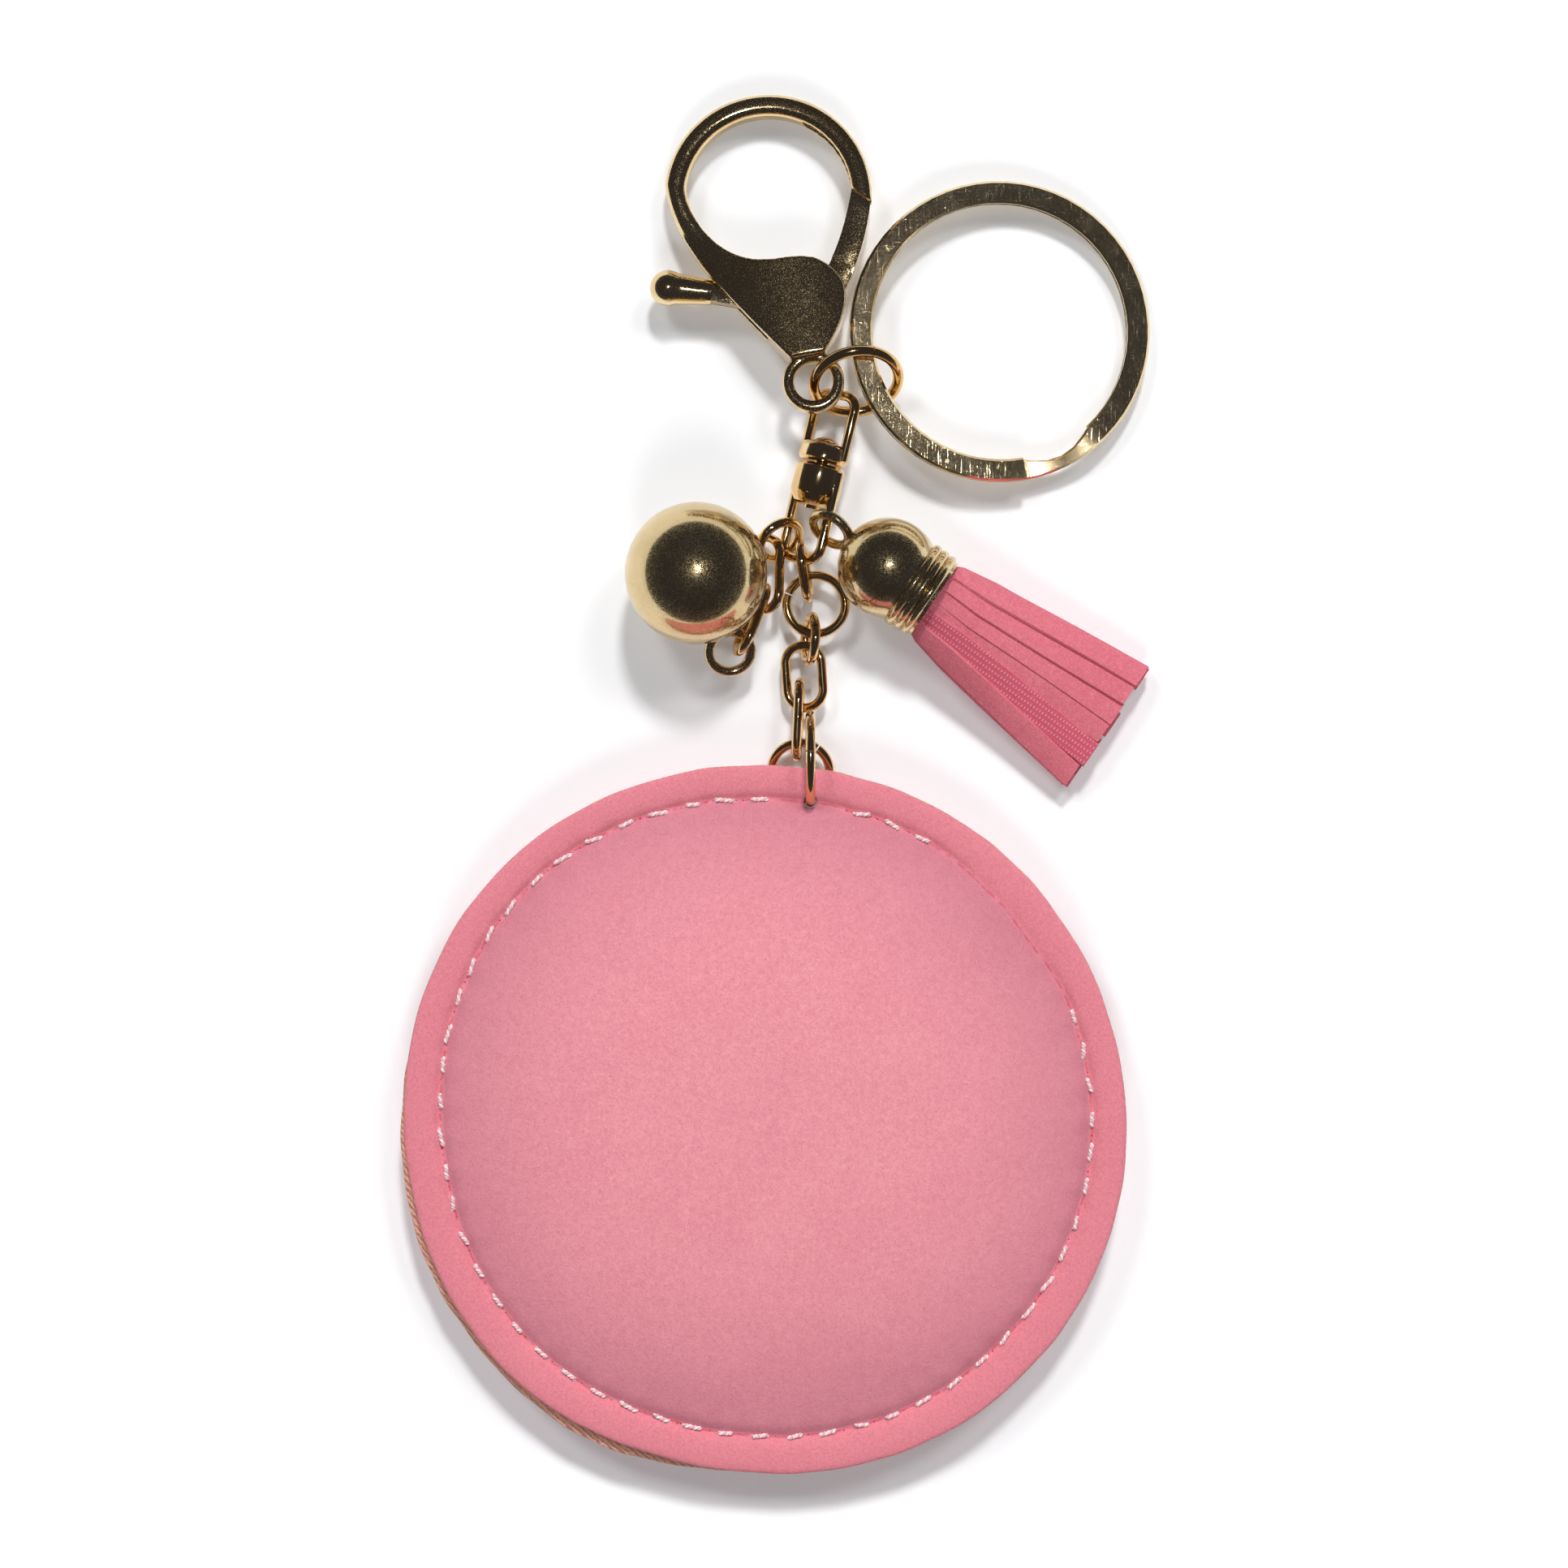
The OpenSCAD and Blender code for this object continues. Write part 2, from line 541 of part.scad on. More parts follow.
module tassel_cap() color(gold) cap_place() {
    difference() {
        rotate([0, -90, 0]) rotate_extrude() difference() {
            union() {
                intersection() {
                    circle(d = cap_d, $fn = 96);
                    translate([0, -cap_r]) square([cap_r, 1.7 * cap_r]);
                }
                square([cup_r, cap_len]);
                for (i = [0:2]) translate([cup_r - 0.1, cap_len - 0.75 - 0.9 * i]) circle(d = 0.9 + 0.1 * i);
            }
            translate([-cap_r, -cap_r - 1]) square([cap_r, 3 * cap_len + 2]);
        }
        translate([-cap_len - 1, 0, 0]) rotate([0, 90, 0]) cylinder(r = cup_bore, h = 1 + 0.55 * cap_len);
    }
    rotate([0, -cap_turn[1], 0]) rotate([cap_turn[2], 0, 0]) translate([cap_stand, 0, 0]) rotate_extrude()
        translate([cap_eye_d / 2 - charm_eye_wire / 2, 0]) circle(d = charm_eye_wire);
}

// Root circle that flattens into a wide ellipse lying on the table at the end.
function strip_mid(dir, k, t) = let (w = mix(cup_bore * 0.8, fringe_w / 2 - 0.9, smooth(t)) * k,
    h = mix(cup_bore * 0.8, 2.1, t) * k, sag = mix(0, 2.1 + strip_t / 2 + 0.1 - cap_r, t))
    [w * cos(dir), h * sin(dir) + sag];

module strip(dir, k, w0, w1) {
    n = 7;
    skin([for (i = [0:n]) let (t = i / n, x = -cap_len + 1.2 - (fringe_len + 1.2) * t,
        p = strip_mid(dir, k, t), q = strip_mid(dir + 2, k, t) - strip_mid(dir - 2, k, t),
        u = q / norm(q), v = [-u.y, u.x], w = mix(w0, w1, t) / 2, h = strip_t / 2)
        [for (c = [[-w, -h], [-w, h], [w, h], [w, -h]]) let (y = p + u * c.x + v * c.y) [x, y.x, y.y]]]);
}

module tassel_fringe() color(suede) cap_place() {
    translate([-cap_len, 0, 0]) rotate([0, 90, 0])
        cylinder(r = cup_bore - seam_gap, h = 0.5 * cap_len, $fn = 40);
    for (i = [0:outer_strips - 1]) strip(360 * (i + 0.25) / outer_strips, 1, 1.5, 2.3);
    for (i = [0:inner_strips - 1]) strip(360 * (i + 0.5) / inner_strips, 0.48, 1.1, 2);
}

module disc_place() in_frame() translate([disc_at.x, disc_at.y, 0]) children();

// Half section of one face: flange, drawn-in seam and crown, above the seam plane.
module crown_section(edge_r, flange_t, rise, flat_r) {
    r = edge_r - flange_w;
    polygon(concat([[0, 0], [edge_r - 0.3, 0], [edge_r, 0.3], [edge_r - 0.15, flange_t - 0.2],
        [edge_r - 0.6, flange_t]], [for (p = bez([r + 0.1, flange_t - 0.1], [r - 3, flange_t + 0.2],
        [mix(r, flat_r, 0.7), rise], [flat_r, rise], 16)) p], [[0, rise]]));
}

module seam_groove() rotate_extrude($fn = 120) translate([seam_r, panel_t - 0.05])
    circle(d = thread_d + 2 * seam_gap, $fn = 20);

module half_shell(rise, flat_r) difference() {
    rotate_extrude($fn = 120) difference() {
        crown_section(disc_r, panel_t, rise, flat_r);
        translate([0, -eps]) square([pad_r + seam_gap, eps * 2]);
        polygon(pad_section(rise - panel_t + seam_gap, flat_r, pad_r + seam_gap));
    }
    seam_groove();
    translate([hole_r * cos(hole_dir), hole_r * sin(hole_dir), 0])
        cylinder(d = hole_d, h = 4 * panel_t, center = true);
}

function pad_section(rise, flat_r, r) = concat([[0, -eps], [r, -eps]],
    bez([r, eps], [r - 3, 0.4], [mix(r, flat_r, 0.7), rise], [flat_r, rise], 16), [[0, rise]]);

upper_rise = disc_t - seam_z;
crown_flat = 3;
module disc_front_panel() color(suede) disc_place() translate([0, 0, seam_z])
    half_shell(upper_rise, crown_flat);
module disc_back_panel() color(suede) disc_place() translate([0, 0, seam_z]) mirror([0, 0, 1])
    half_shell(seam_z, rest_r);
module disc_padding() color(foam) disc_place() translate([0, 0, seam_z]) {
    rotate_extrude($fn = 120) polygon(pad_section(upper_rise - panel_t, crown_flat, pad_r));
    mirror([0, 0, 1]) rotate_extrude($fn = 120) polygon(pad_section(seam_z - panel_t, rest_r, pad_r));
}

module stitch_row(shift, z) {
    arc = stitch_len / seam_r * 180 / PI;
    for (i = [0:stitch_n - 1]) {
        a = 360 * (i + shift) / stitch_n;
        near_hole = abs(a - hole_dir) < 0.5 * (arc + hole_d / seam_r * 180 / PI) + 0.6;
        if (!near_hole && (a < sunk_from_to[0] || a > sunk_from_to[1]))
            rotate([0, 0, a - arc / 2]) rotate_extrude(angle = arc) translate([seam_r, z])
                circle(d = thread_d, $fn = 20);
    }
}

module disc_stitching() color(thread) disc_place() translate([0, 0, seam_z]) {
    stitch_row(0, panel_t - 0.05);
    mirror([0, 0, 1]) stitch_row(0.5, panel_t - 0.05);
}

clasp_body();
clasp_lever();
clasp_pivot_pin();
clasp_spring();
connector_ring();
key_ring();
swivel_upper();
swivel_lower();
swivel_rivet();
ball_ring();
ball_link_1();
ball_link_2();
ball_charm();
tassel_cap();
tassel_fringe();
chain_link_1();
chain_ring_2();
chain_ring_3();
chain_link_4();
chain_link_5();
back_ring();
disc_ring();
disc_front_panel();
disc_back_panel();
disc_padding();
disc_stitching();
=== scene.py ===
import math
import random
import bpy
import bmesh
from mathutils import Matrix, Vector
from mathutils.noise import noise


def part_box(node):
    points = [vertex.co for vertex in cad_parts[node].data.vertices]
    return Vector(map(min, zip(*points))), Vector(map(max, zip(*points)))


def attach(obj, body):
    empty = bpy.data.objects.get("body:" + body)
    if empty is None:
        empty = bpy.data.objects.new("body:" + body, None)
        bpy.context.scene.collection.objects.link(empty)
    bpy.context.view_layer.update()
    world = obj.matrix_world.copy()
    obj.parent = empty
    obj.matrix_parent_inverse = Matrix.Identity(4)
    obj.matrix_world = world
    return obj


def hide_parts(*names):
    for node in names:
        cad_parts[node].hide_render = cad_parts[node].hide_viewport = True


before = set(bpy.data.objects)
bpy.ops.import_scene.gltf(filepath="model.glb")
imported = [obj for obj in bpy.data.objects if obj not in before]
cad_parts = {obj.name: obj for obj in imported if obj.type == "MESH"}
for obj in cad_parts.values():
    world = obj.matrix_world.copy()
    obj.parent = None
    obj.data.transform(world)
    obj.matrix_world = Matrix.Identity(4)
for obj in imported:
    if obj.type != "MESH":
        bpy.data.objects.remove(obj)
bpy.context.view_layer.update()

# Lengths are millimetres of the row frame and angles are degrees, unless a comment says otherwise.
MM = 0.001
scene = bpy.context.scene
scene.view_settings.view_transform = "Standard"

# The tassel: the middle of its cap's ball, and the way its fringe runs, in radians.
CAP = Vector((10.587, 21.495, 5.0))
FRINGE_DIR = math.radians(145.7 + 180)
ALONG = Vector((math.cos(FRINGE_DIR), math.sin(FRINGE_DIR), 0))
ACROSS = Vector((-ALONG.y, ALONG.x, 0))
UP = Vector((0, 0, 1))


def lin(r, g, b):
    """An sRGB colour of 0 to 255 as a linear one with alpha."""
    def one(c):
        c /= 255
        return c / 12.92 if c <= 0.04045 else ((c + 0.055) / 1.055) ** 2.4
    return (one(r), one(g), one(b), 1.0)


def eased(f):
    """0 to 1 with soft ends."""
    f = min(1.0, max(0.0, f))
    return f * f * (3 - 2 * f)


def bell(x, spread, power=2):
    """1 at 0, falling off to both sides."""
    return math.exp(-(x / spread) ** power)


def fill_ramp(ramp, stops):
    """Sets a colour ramp's stops, each a place with a grey or a colour."""
    while len(ramp.elements) < len(stops):
        ramp.elements.new(0.5)
    for element, (place, colour) in zip(ramp.elements, stops):
        element.position = place
        element.color = colour if hasattr(colour, "__len__") else (colour, colour, colour, 1)


# Sockets of a Mix node that mixes colours.
MIX_FACTOR = 0
MIX_FIRST = 6
MIX_SECOND = 7
MIX_RESULT = 2


class Mat:
    """A node material with short calls for the nodes used here."""

    def __init__(self, name):
        self.material = bpy.data.materials.new(name)
        self.material.use_nodes = True
        self.tree = self.material.node_tree
        self.shader = self.tree.nodes["Principled BSDF"]
        self.coord = self.node("ShaderNodeTexCoord").outputs["Object"]

    def node(self, kind, inputs=None, **settings):
        made = self.tree.nodes.new(kind)
        for key, value in settings.items():
            setattr(made, key, value)
        for key, value in (inputs or {}).items():
            self.put(made.inputs[key], value)
        return made

    def put(self, socket, value):
        if isinstance(value, bpy.types.NodeSocket):
            self.tree.links.new(value, socket)
        else:
            socket.default_value = value

    def set(self, **sockets):
        for key, value in sockets.items():
            self.put(self.shader.inputs[key.replace("_", " ")], value)

    def stretched(self, scale, turn=(0, 0, 0)):
        inputs = {"Vector": self.coord, "Scale": scale, "Rotation": turn}
        return self.node("ShaderNodeMapping", inputs).outputs[0]

    def noise(self, scale, detail=3.0, rough=0.55, vector=None, distortion=0.0):
        inputs = {"Vector": vector or self.coord, "Scale": scale, "Detail": detail, "Roughness": rough,
                  "Distortion": distortion}
        return self.node("ShaderNodeTexNoise", inputs).outputs["Fac"]

    def bands(self, direction, scale, distortion, detail_scale, vector=None):
        inputs = {"Vector": vector or self.coord, "Scale": scale, "Distortion": distortion,
                  "Detail Scale": detail_scale}
        made = self.node("ShaderNodeTexWave", inputs, wave_type="BANDS", bands_direction=direction)
        return made.outputs["Fac"]

    def ramp(self, factor, *stops):
        made = self.node("ShaderNodeValToRGB", {"Fac": factor})
        fill_ramp(made.color_ramp, stops)
        return made.outputs["Color"]

    def span(self, value, low, high, to_low, to_high):
        inputs = {"Value": value, "From Min": low, "From Max": high, "To Min": to_low, "To Max": to_high}
        return self.node("ShaderNodeMapRange", inputs).outputs["Result"]

    def math(self, operation, *values):
        made = self.node("ShaderNodeMath", operation=operation)
        for socket, value in zip(made.inputs, values):
            self.put(socket, value)
        return made.outputs[0]

    def plus(self, first, second):
        return self.math("ADD", first, second)

    def times(self, first, second):
        return self.math("MULTIPLY", first, second)

    def sway(self, scale, detail, reach):
        """Noise about 0, up to half of reach to each side."""
        return self.times(self.math("SUBTRACT", self.noise(scale, detail), 0.5), reach)

    def mix(self, factor, first, second):
        made = self.node("ShaderNodeMix", data_type="RGBA", blend_type="MIX")
        self.put(made.inputs[MIX_FACTOR], factor)
        self.put(made.inputs[MIX_FIRST], first)
        self.put(made.inputs[MIX_SECOND], second)
        return made.outputs[MIX_RESULT]

    def bump(self, height, strength, distance, under=None):
        inputs = {"Height": height, "Strength": strength, "Distance": distance}
        if under is not None:
            inputs["Normal"] = under
        return self.node("ShaderNodeBump", inputs).outputs["Normal"]


# Depths of surface marks in metres. The texture scales in the materials are per metre.
HAIRLINE = 0.00002
CAST_WAVE = 0.0004
NAP = 0.00012
FIBRE = 0.00006
RIB = 0.0002
LOOP = 0.00012
THREAD_FUZZ = 0.00003

TARNISHED = lin(204, 158, 98)
RUBBED = lin(250, 234, 200)
PALE_FIBRE = lin(252, 196, 200)
SHEEN = lin(255, 205, 210)
# Painted shade: mauve for the dome's slope down to the seam.
MAUVE_SEAM_SHADE = lin(186, 108, 128)
# Painted shade: the dark red of the crease along the seam.
CREASE_SHADE = lin(196, 70, 92)


def gold(name, low, high, rough, scratch, pits=0.0, waves=0.0):
    """Gold plating: soft tone changes, haze, hairline scratches, fine pits and a little casting wave.

    rough is the roughness from clear to hazy, scratch and pits are what those marks add to it, and waves is
    the strength of the casting's waves."""
    m = Mat(name)
    base = m.ramp(m.noise(260), (0.3, low), (0.7, high))
    tarnish = m.ramp(m.noise(330, 4, 0.6), (0.5, 0.0), (0.8, 1.0))
    edge = m.ramp(m.node("ShaderNodeNewGeometry").outputs["Pointiness"], (0.5, 0.0), (0.56, 1.0))
    base = m.mix(m.times(tarnish, 0.3), base, TARNISHED)
    base = m.mix(m.times(edge, 0.3), base, RUBBED)
    first = m.noise(1.0, 2, 0.6, m.stretched((9000, 420, 5200), (0.3, 0.2, 0.7)))
    second = m.noise(1.0, 2, 0.6, m.stretched((500, 8200, 4700), (0.1, 0.5, 0.25)))
    lines = m.plus(m.ramp(first, (0.62, 0.0), (0.72, 1.0)), m.ramp(second, (0.64, 0.0), (0.74, 1.0)))
    haze = m.span(m.noise(420, 3, 0.5), 0.3, 0.75, *rough)
    worn = m.times(lines, scratch)
    normal = m.bump(lines, 0.1, HAIRLINE)
    if pits:
        bare = 0.62 - 0.3 * pits
        specks = m.ramp(m.noise(11000, 2, 0.5), (bare, 0.0), (bare + 0.1, 1.0))
        worn = m.plus(worn, m.times(specks, pits))
        normal = m.bump(specks, 0.05, HAIRLINE, normal)
    if waves:
        normal = m.bump(m.noise(110, 1), waves, CAST_WAVE, normal)
    m.set(Base_Color=base, Metallic=1.0, Roughness=m.plus(haze, worn), Normal=normal)
    return m.material


def steel(name):
    """Grey steel with a fine grain."""
    m = Mat(name)
    base = m.ramp(m.noise(700), (0.3, lin(176, 174, 170)), (0.7, lin(214, 212, 208)))
    grain = m.noise(1.0, 2, 0.6, m.stretched((700, 700, 9000)))
    m.set(Base_Color=base, Metallic=1.0, Roughness=m.span(m.noise(2200), 0.3, 0.7, 0.22, 0.38))
    m.set(Normal=m.bump(grain, 0.2, HAIRLINE))
    return m.material


def suede(name, light, dark, deep, shade=None):
    """Napped suede: fine fibre grain and brushed patches, with the disc's shading where shade is given."""
    m = Mat(name)
    fibre = m.noise(5200, 4, 0.7)
    nap = m.noise(1700, 4, 0.65, distortion=0.6)
    brushed = m.noise(150, 3, 0.5)
    base = m.ramp(m.plus(m.times(nap, 0.75), m.times(brushed, 0.25)), (0.36, dark), (0.62, light))
    base = m.mix(m.ramp(fibre, (0.3, 0.5), (0.5, 0.0)), base, deep)
    base = m.mix(m.ramp(fibre, (0.56, 0.0), (0.74, 0.4)), base, PALE_FIBRE)
    if shade:
        base = shade(m, base)
    m.set(Base_Color=base, Roughness=m.span(nap, 0.3, 0.7, 0.86, 1.0))
    m.set(Sheen_Weight=0.22, Sheen_Roughness=0.45, Sheen_Tint=SHEEN, Specular_IOR_Level=0.2)
    soft = m.bump(m.noise(2600, 5, 0.7), 0.55, NAP)
    m.set(Normal=m.bump(fibre, 0.5, FIBRE, soft))
    return m.material


def disc_shade(m, base):
    """Mauve painted shade towards the seam on the inside of it, where the dome slopes down, a warmer flange
    outside and a broken dark line of painted shade in the crease on it.

    It goes by seam_off, the distance from the seam, which is below 0 inside it."""
    off = m.node("ShaderNodeAttribute", attribute_name="seam_off").outputs["Fac"]
    # Painted shade: mauve that deepens towards the seam inside it, where the dome slopes down.
    inside = m.math("POWER", m.span(m.plus(off, m.sway(70, 3, 6.0)), -19.0, 0.0, 0.0, 1.0), 2.2)
    ragged = m.plus(off, m.sway(1600, 3, 0.5))
    gate = m.span(ragged, -0.3, 0.15, 1.0, 0.0)
    base = m.mix(m.times(m.times(inside, gate), 0.52), base, MAUVE_SEAM_SHADE)
    flange = m.ramp(m.noise(3600, 4, 0.7), (0.32, lin(212, 106, 124)), (0.6, lin(234, 132, 146)))
    base = m.mix(m.span(ragged, -0.3, 0.2, 0.0, 0.6), base, flange)
    # Painted shade: a broken dark line along the seam's crease.
    wander = m.plus(off, m.sway(420, 2, 0.3))
    crease = m.span(m.math("ABSOLUTE", wander), 0.05, 0.2, 1.0, 0.0)
    broken = m.ramp(m.noise(900, 2), (0.4, 0.0), (0.56, 0.55))
    return m.mix(m.times(crease, broken), base, CREASE_SHADE)


def weave(name, light, dark, scale):
    """A ribbed woven cut edge."""
    m = Mat(name)
    ribs = m.bands("DIAGONAL", scale, 3.0, 2.0)
    dots = m.node("ShaderNodeTexVoronoi", {"Vector": m.coord, "Scale": scale * 3.2}).outputs["Distance"]
    both = m.plus(m.times(ribs, 0.6), m.times(dots, 0.5))
    m.set(Base_Color=m.ramp(both, (0.2, dark), (0.75, light)), Roughness=m.span(dots, 0, 0.7, 0.8, 0.98))
    m.set(Normal=m.bump(both, 0.7, RIB))
    return m.material


def knit(name, loop, ground, deep):
    """The knitted back of the strips: rows of small pale loops along the strip."""
    m = Mat(name)
    along = m.stretched((1, 1, 1), (0, 0, -FRINGE_DIR))
    loops = m.times(m.bands("X", 870, 0.6, 3.0, along), m.bands("Y", 560, 0.6, 3.0, along))
    fuzz = m.noise(5200, 4, 0.7)
    cloth = m.ramp(fuzz, (0.3, deep), (0.6, ground))
    base = m.mix(m.ramp(loops, (0.35, 0.0), (0.85, 0.8)), cloth, loop)
    m.set(Base_Color=base, Roughness=m.span(fuzz, 0.3, 0.7, 0.85, 1.0), Sheen_Weight=0.15)
    m.set(Normal=m.bump(loops, 0.5, LOOP))
    return m.material


def thread(name, light, dark):
    """Sewing thread with a little fuzz."""
    m = Mat(name)
    fuzz = m.noise(7000, 4, 0.7)
    m.set(Base_Color=m.ramp(fuzz, (0.32, dark), (0.6, light)), Roughness=m.span(fuzz, 0.3, 0.7, 0.5, 0.75))
    m.set(Sheen_Weight=0.2, Normal=m.bump(m.noise(9000), 0.4, THREAD_FUZZ))
    return m.material


# The wire gold is more orange than the cast gold: partly its own colour, partly painted warmth that stands
# in for reflections between the links.
GOLD_WIRE_REFLECTION_WARMED = gold("gold_wire_reflection_warmed", lin(228, 184, 118), lin(244, 208, 150), (0.06, 0.1), 0.04)
GOLD_CAST = gold("gold_cast", lin(226, 196, 142), lin(240, 214, 164), (0.06, 0.1), 0.05, 0.22, 0.04)
GOLD_BALL = gold("gold_ball", lin(212, 188, 138), lin(228, 204, 156), (0.05, 0.08), 0.03, 0.36)
GOLD_FLAT = gold("gold_flat", lin(226, 198, 146), lin(240, 216, 168), (0.08, 0.12), 0.06, 0.11)
STEEL = steel("steel_spring")
PINK = suede("suede_disc", lin(246, 162, 172), lin(236, 148, 160), lin(206, 106, 124), disc_shade)
# Painted shade: the back panel is the same suede as the front, coloured darker.
PINK_BACK_SHADED = suede("suede_back", lin(234, 142, 155), lin(222, 128, 143), lin(190, 90, 110), disc_shade)
PINK_STRIP = suede("suede_strip", lin(231, 127, 141), lin(219, 113, 128), lin(188, 84, 100))
CUT_EDGE = weave("cut_edge", lin(234, 176, 154), lin(190, 132, 114), 900)
STRIP_BACK = knit("strip_back", lin(236, 160, 172), lin(216, 96, 116), lin(200, 84, 106))
THREAD_WHITE = thread("thread_white", lin(254, 248, 246), lin(236, 214, 214))
THREAD_PINK = thread("thread_pink", lin(248, 206, 210), lin(226, 160, 170))
# Painted shade: the dark red of the needle holes at the stitches' ends.
NEEDLE_HOLE_SHADE = thread("needle_hole_shade", lin(196, 66, 88), lin(160, 44, 66))


def added(name, data):
    """A new object in the scene."""
    o = bpy.data.objects.new(name, data)
    scene.collection.objects.link(o)
    return o


def mesh_of(bm, name):
    """A new mesh from a bmesh, which is freed."""
    mesh = bpy.data.meshes.new(name)
    bm.to_mesh(mesh)
    bm.free()
    return mesh


def mesh_object(name, verts, faces, mats, index):
    """A mesh object from millimetre points, with smooth faces and the number of each face's material."""
    mesh = bpy.data.meshes.new(name)
    mesh.from_pydata([tuple(c * MM for c in v) for v in verts], [], faces)
    for mat in mats:
        mesh.materials.append(mat)
    for face, number in zip(mesh.polygons, index):
        face.use_smooth = True
        face.material_index = number
    mesh.update()
    return added(name, mesh)


def applied(o):
    """Applies the object's modifiers to its mesh."""
    graph = bpy.context.evaluated_depsgraph_get()
    mesh = bpy.data.meshes.new_from_object(o.evaluated_get(graph))
    o.modifiers.clear()
    o.data = mesh


def skin(rings):
    """Faces that close a skin over rings of vertices, row by row, and then its first and last end."""
    faces = []
    for a, b in zip(rings, rings[1:]):
        for k in range(len(a)):
            q = (k + 1) % len(a)
            faces.append([a[k], a[q], b[q], b[k]])
    return faces + [rings[0][::-1], rings[-1]]


def smooth_by_angle(o, angle):
    """Splits the shading at edges sharper than the angle."""
    split = o.modifiers.new("smooth_by_angle", "EDGE_SPLIT")
    split.split_angle = math.radians(angle)


# The metal pieces keep their CAD meshes, but for the clasp's body: finish and width of the broken edges.
FINISH = {"clasp_lever": (GOLD_CAST, 0.2), "clasp_pivot_pin": (GOLD_CAST, 0.08), "clasp_spring": (STEEL, 0),
          "key_ring": (GOLD_FLAT, 0), "ball_charm": (GOLD_BALL, 0), "tassel_cap": (GOLD_BALL, 0.08),
          "swivel_upper": (GOLD_WIRE_REFLECTION_WARMED, 0.08), "swivel_lower": (GOLD_WIRE_REFLECTION_WARMED, 0.08),
          "swivel_rivet": (GOLD_WIRE_REFLECTION_WARMED, 0.06)}
REMADE = {"clasp_body", "tassel_fringe", "disc_front_panel", "disc_back_panel", "disc_padding",
          "disc_stitching"}
WELD = 0.002
BROKEN_ANGLE = 38
METAL_ANGLE = 42


def dress(name, o):
    """Gives a CAD metal piece its finish, broken edges and smooth shading."""
    material, broken = FINISH.get(name, (GOLD_WIRE_REFLECTION_WARMED, 0))
    o.data.materials.clear()
    o.data.materials.append(material)
    if "custom_normal" in o.data.attributes:
        o.data.attributes.remove(o.data.attributes["custom_normal"])
    for face in o.data.polygons:
        face.use_smooth = True
        face.material_index = 0
    weld = o.modifiers.new("weld", "WELD")
    weld.merge_threshold = WELD * MM
    if broken:
        bevel = o.modifiers.new("broken_edges", "BEVEL")
        bevel.width = broken * MM
        bevel.segments = 3
        bevel.limit_method = "ANGLE"
        bevel.angle_limit = math.radians(BROKEN_ANGLE)
    smooth_by_angle(o, METAL_ANGLE)


# The clasp's own plan: its hook's middle in the row frame, and how it leans and is held up at the eye.
HOOK_AT = Vector((-1.249, 58.366, 2.586))
LEAN = math.radians(13.6)
EYE_LIFT = 3.1
EYE_REACH = 29.4
CLASP_DIR = Vector((math.sin(LEAN), -math.cos(LEAN)))
TILT = Matrix.Rotation(math.asin(EYE_LIFT / EYE_REACH), 4, (CLASP_DIR.y, -CLASP_DIR.x, 0))
CLASP = Matrix.Translation(HOOK_AT) @ TILT

# The plate's crown and the pin, in that plan. The plug that closes the pin's hole starts inside the plate.
PLATE_HALF = 2.3
CROWN_R = 26
PIVOT = Vector((4.8, -10.8))
PLUG_R = 0.65
PLUG_FROM = 2.06
PLUG_SIDES = 16

# The hook's band, and the curves along which its two edges run on into the plate.
HOOK_OUTER = 10.28
HOOK_INNER = 8.32
HOOK_HALF = 1.49
HOOK_ROUND = 0.8
HOOK_END = (148, 156, 164, 173)
OUTER_RUN = ((-10.25, 1.6), (-9.6, -4.6), (-5.2, -8.8), (2.2, -16.4))
INNER_RUN = ((-8.35, 1.6), (-8.2, -2.9), (-4.5, -6.4), (-1, -6.6))
OUTER_SHARE = 0.51
INNER_SHARE = 0.8
RUN_STEPS = 14
FADE_FROM = 0.1
SUNK_IN_PLATE = 0.05
BAND_SHARES = (0, 0.03, 0.08, 0.16, 0.26, 0.38, 0.5, 0.62, 0.74, 0.84, 0.92, 0.97, 1)

# The casting's grain, what it is grown by, and the places that are worn smooth, with their reach.
CAST_VOXEL = 0.107
CAST_GROWN = 0.09
WORN = (((-9.3, 1.4, 0), 3.2), ((PIVOT.x, PIVOT.y, 2.2), 1.1), ((PIVOT.x, PIVOT.y, -2.2), 1.1))


def bezier(t, *points):
    """A point at t, from 0 to 1, on the curve that the points steer."""
    left = [Vector(p) for p in points]
    while len(left) > 1:
        left = [a.lerp(b, t) for a, b in zip(left, left[1:])]
    return left[0]


def crown(p):
    """Half the thickness of the clasp's plate at a point of its plan."""
    d = p.x * CLASP_DIR.y - p.y * CLASP_DIR.x
    return math.sqrt(CROWN_R ** 2 - d * d) - CROWN_R + PLATE_HALF


def loft(bm, sections):
    """Adds a closed loft through rings of points, given in millimetres of the clasp's plan."""
    rings = [[bm.verts.new((CLASP @ Vector(v)) * MM) for v in ring] for ring in sections]
    for face in skin(rings):
        bm.faces.new(face)


def band_section(outer, inner, hook):
    """A section across the band with rounded edges. hook is 1 on the hook and 0 in the plate."""
    top = []
    for s in BAND_SHARES:
        p = outer.lerp(inner, s)
        e = min(HOOK_ROUND, min(s, 1 - s) * (outer - inner).length)
        h = hook * HOOK_HALF + (1 - hook) * (crown(p) - SUNK_IN_PLATE)
        top.append((p.x, p.y, h - HOOK_ROUND + math.sqrt(e * (2 * HOOK_ROUND - e))))
    return top + [(x, y, -z) for x, y, z in top[::-1]]


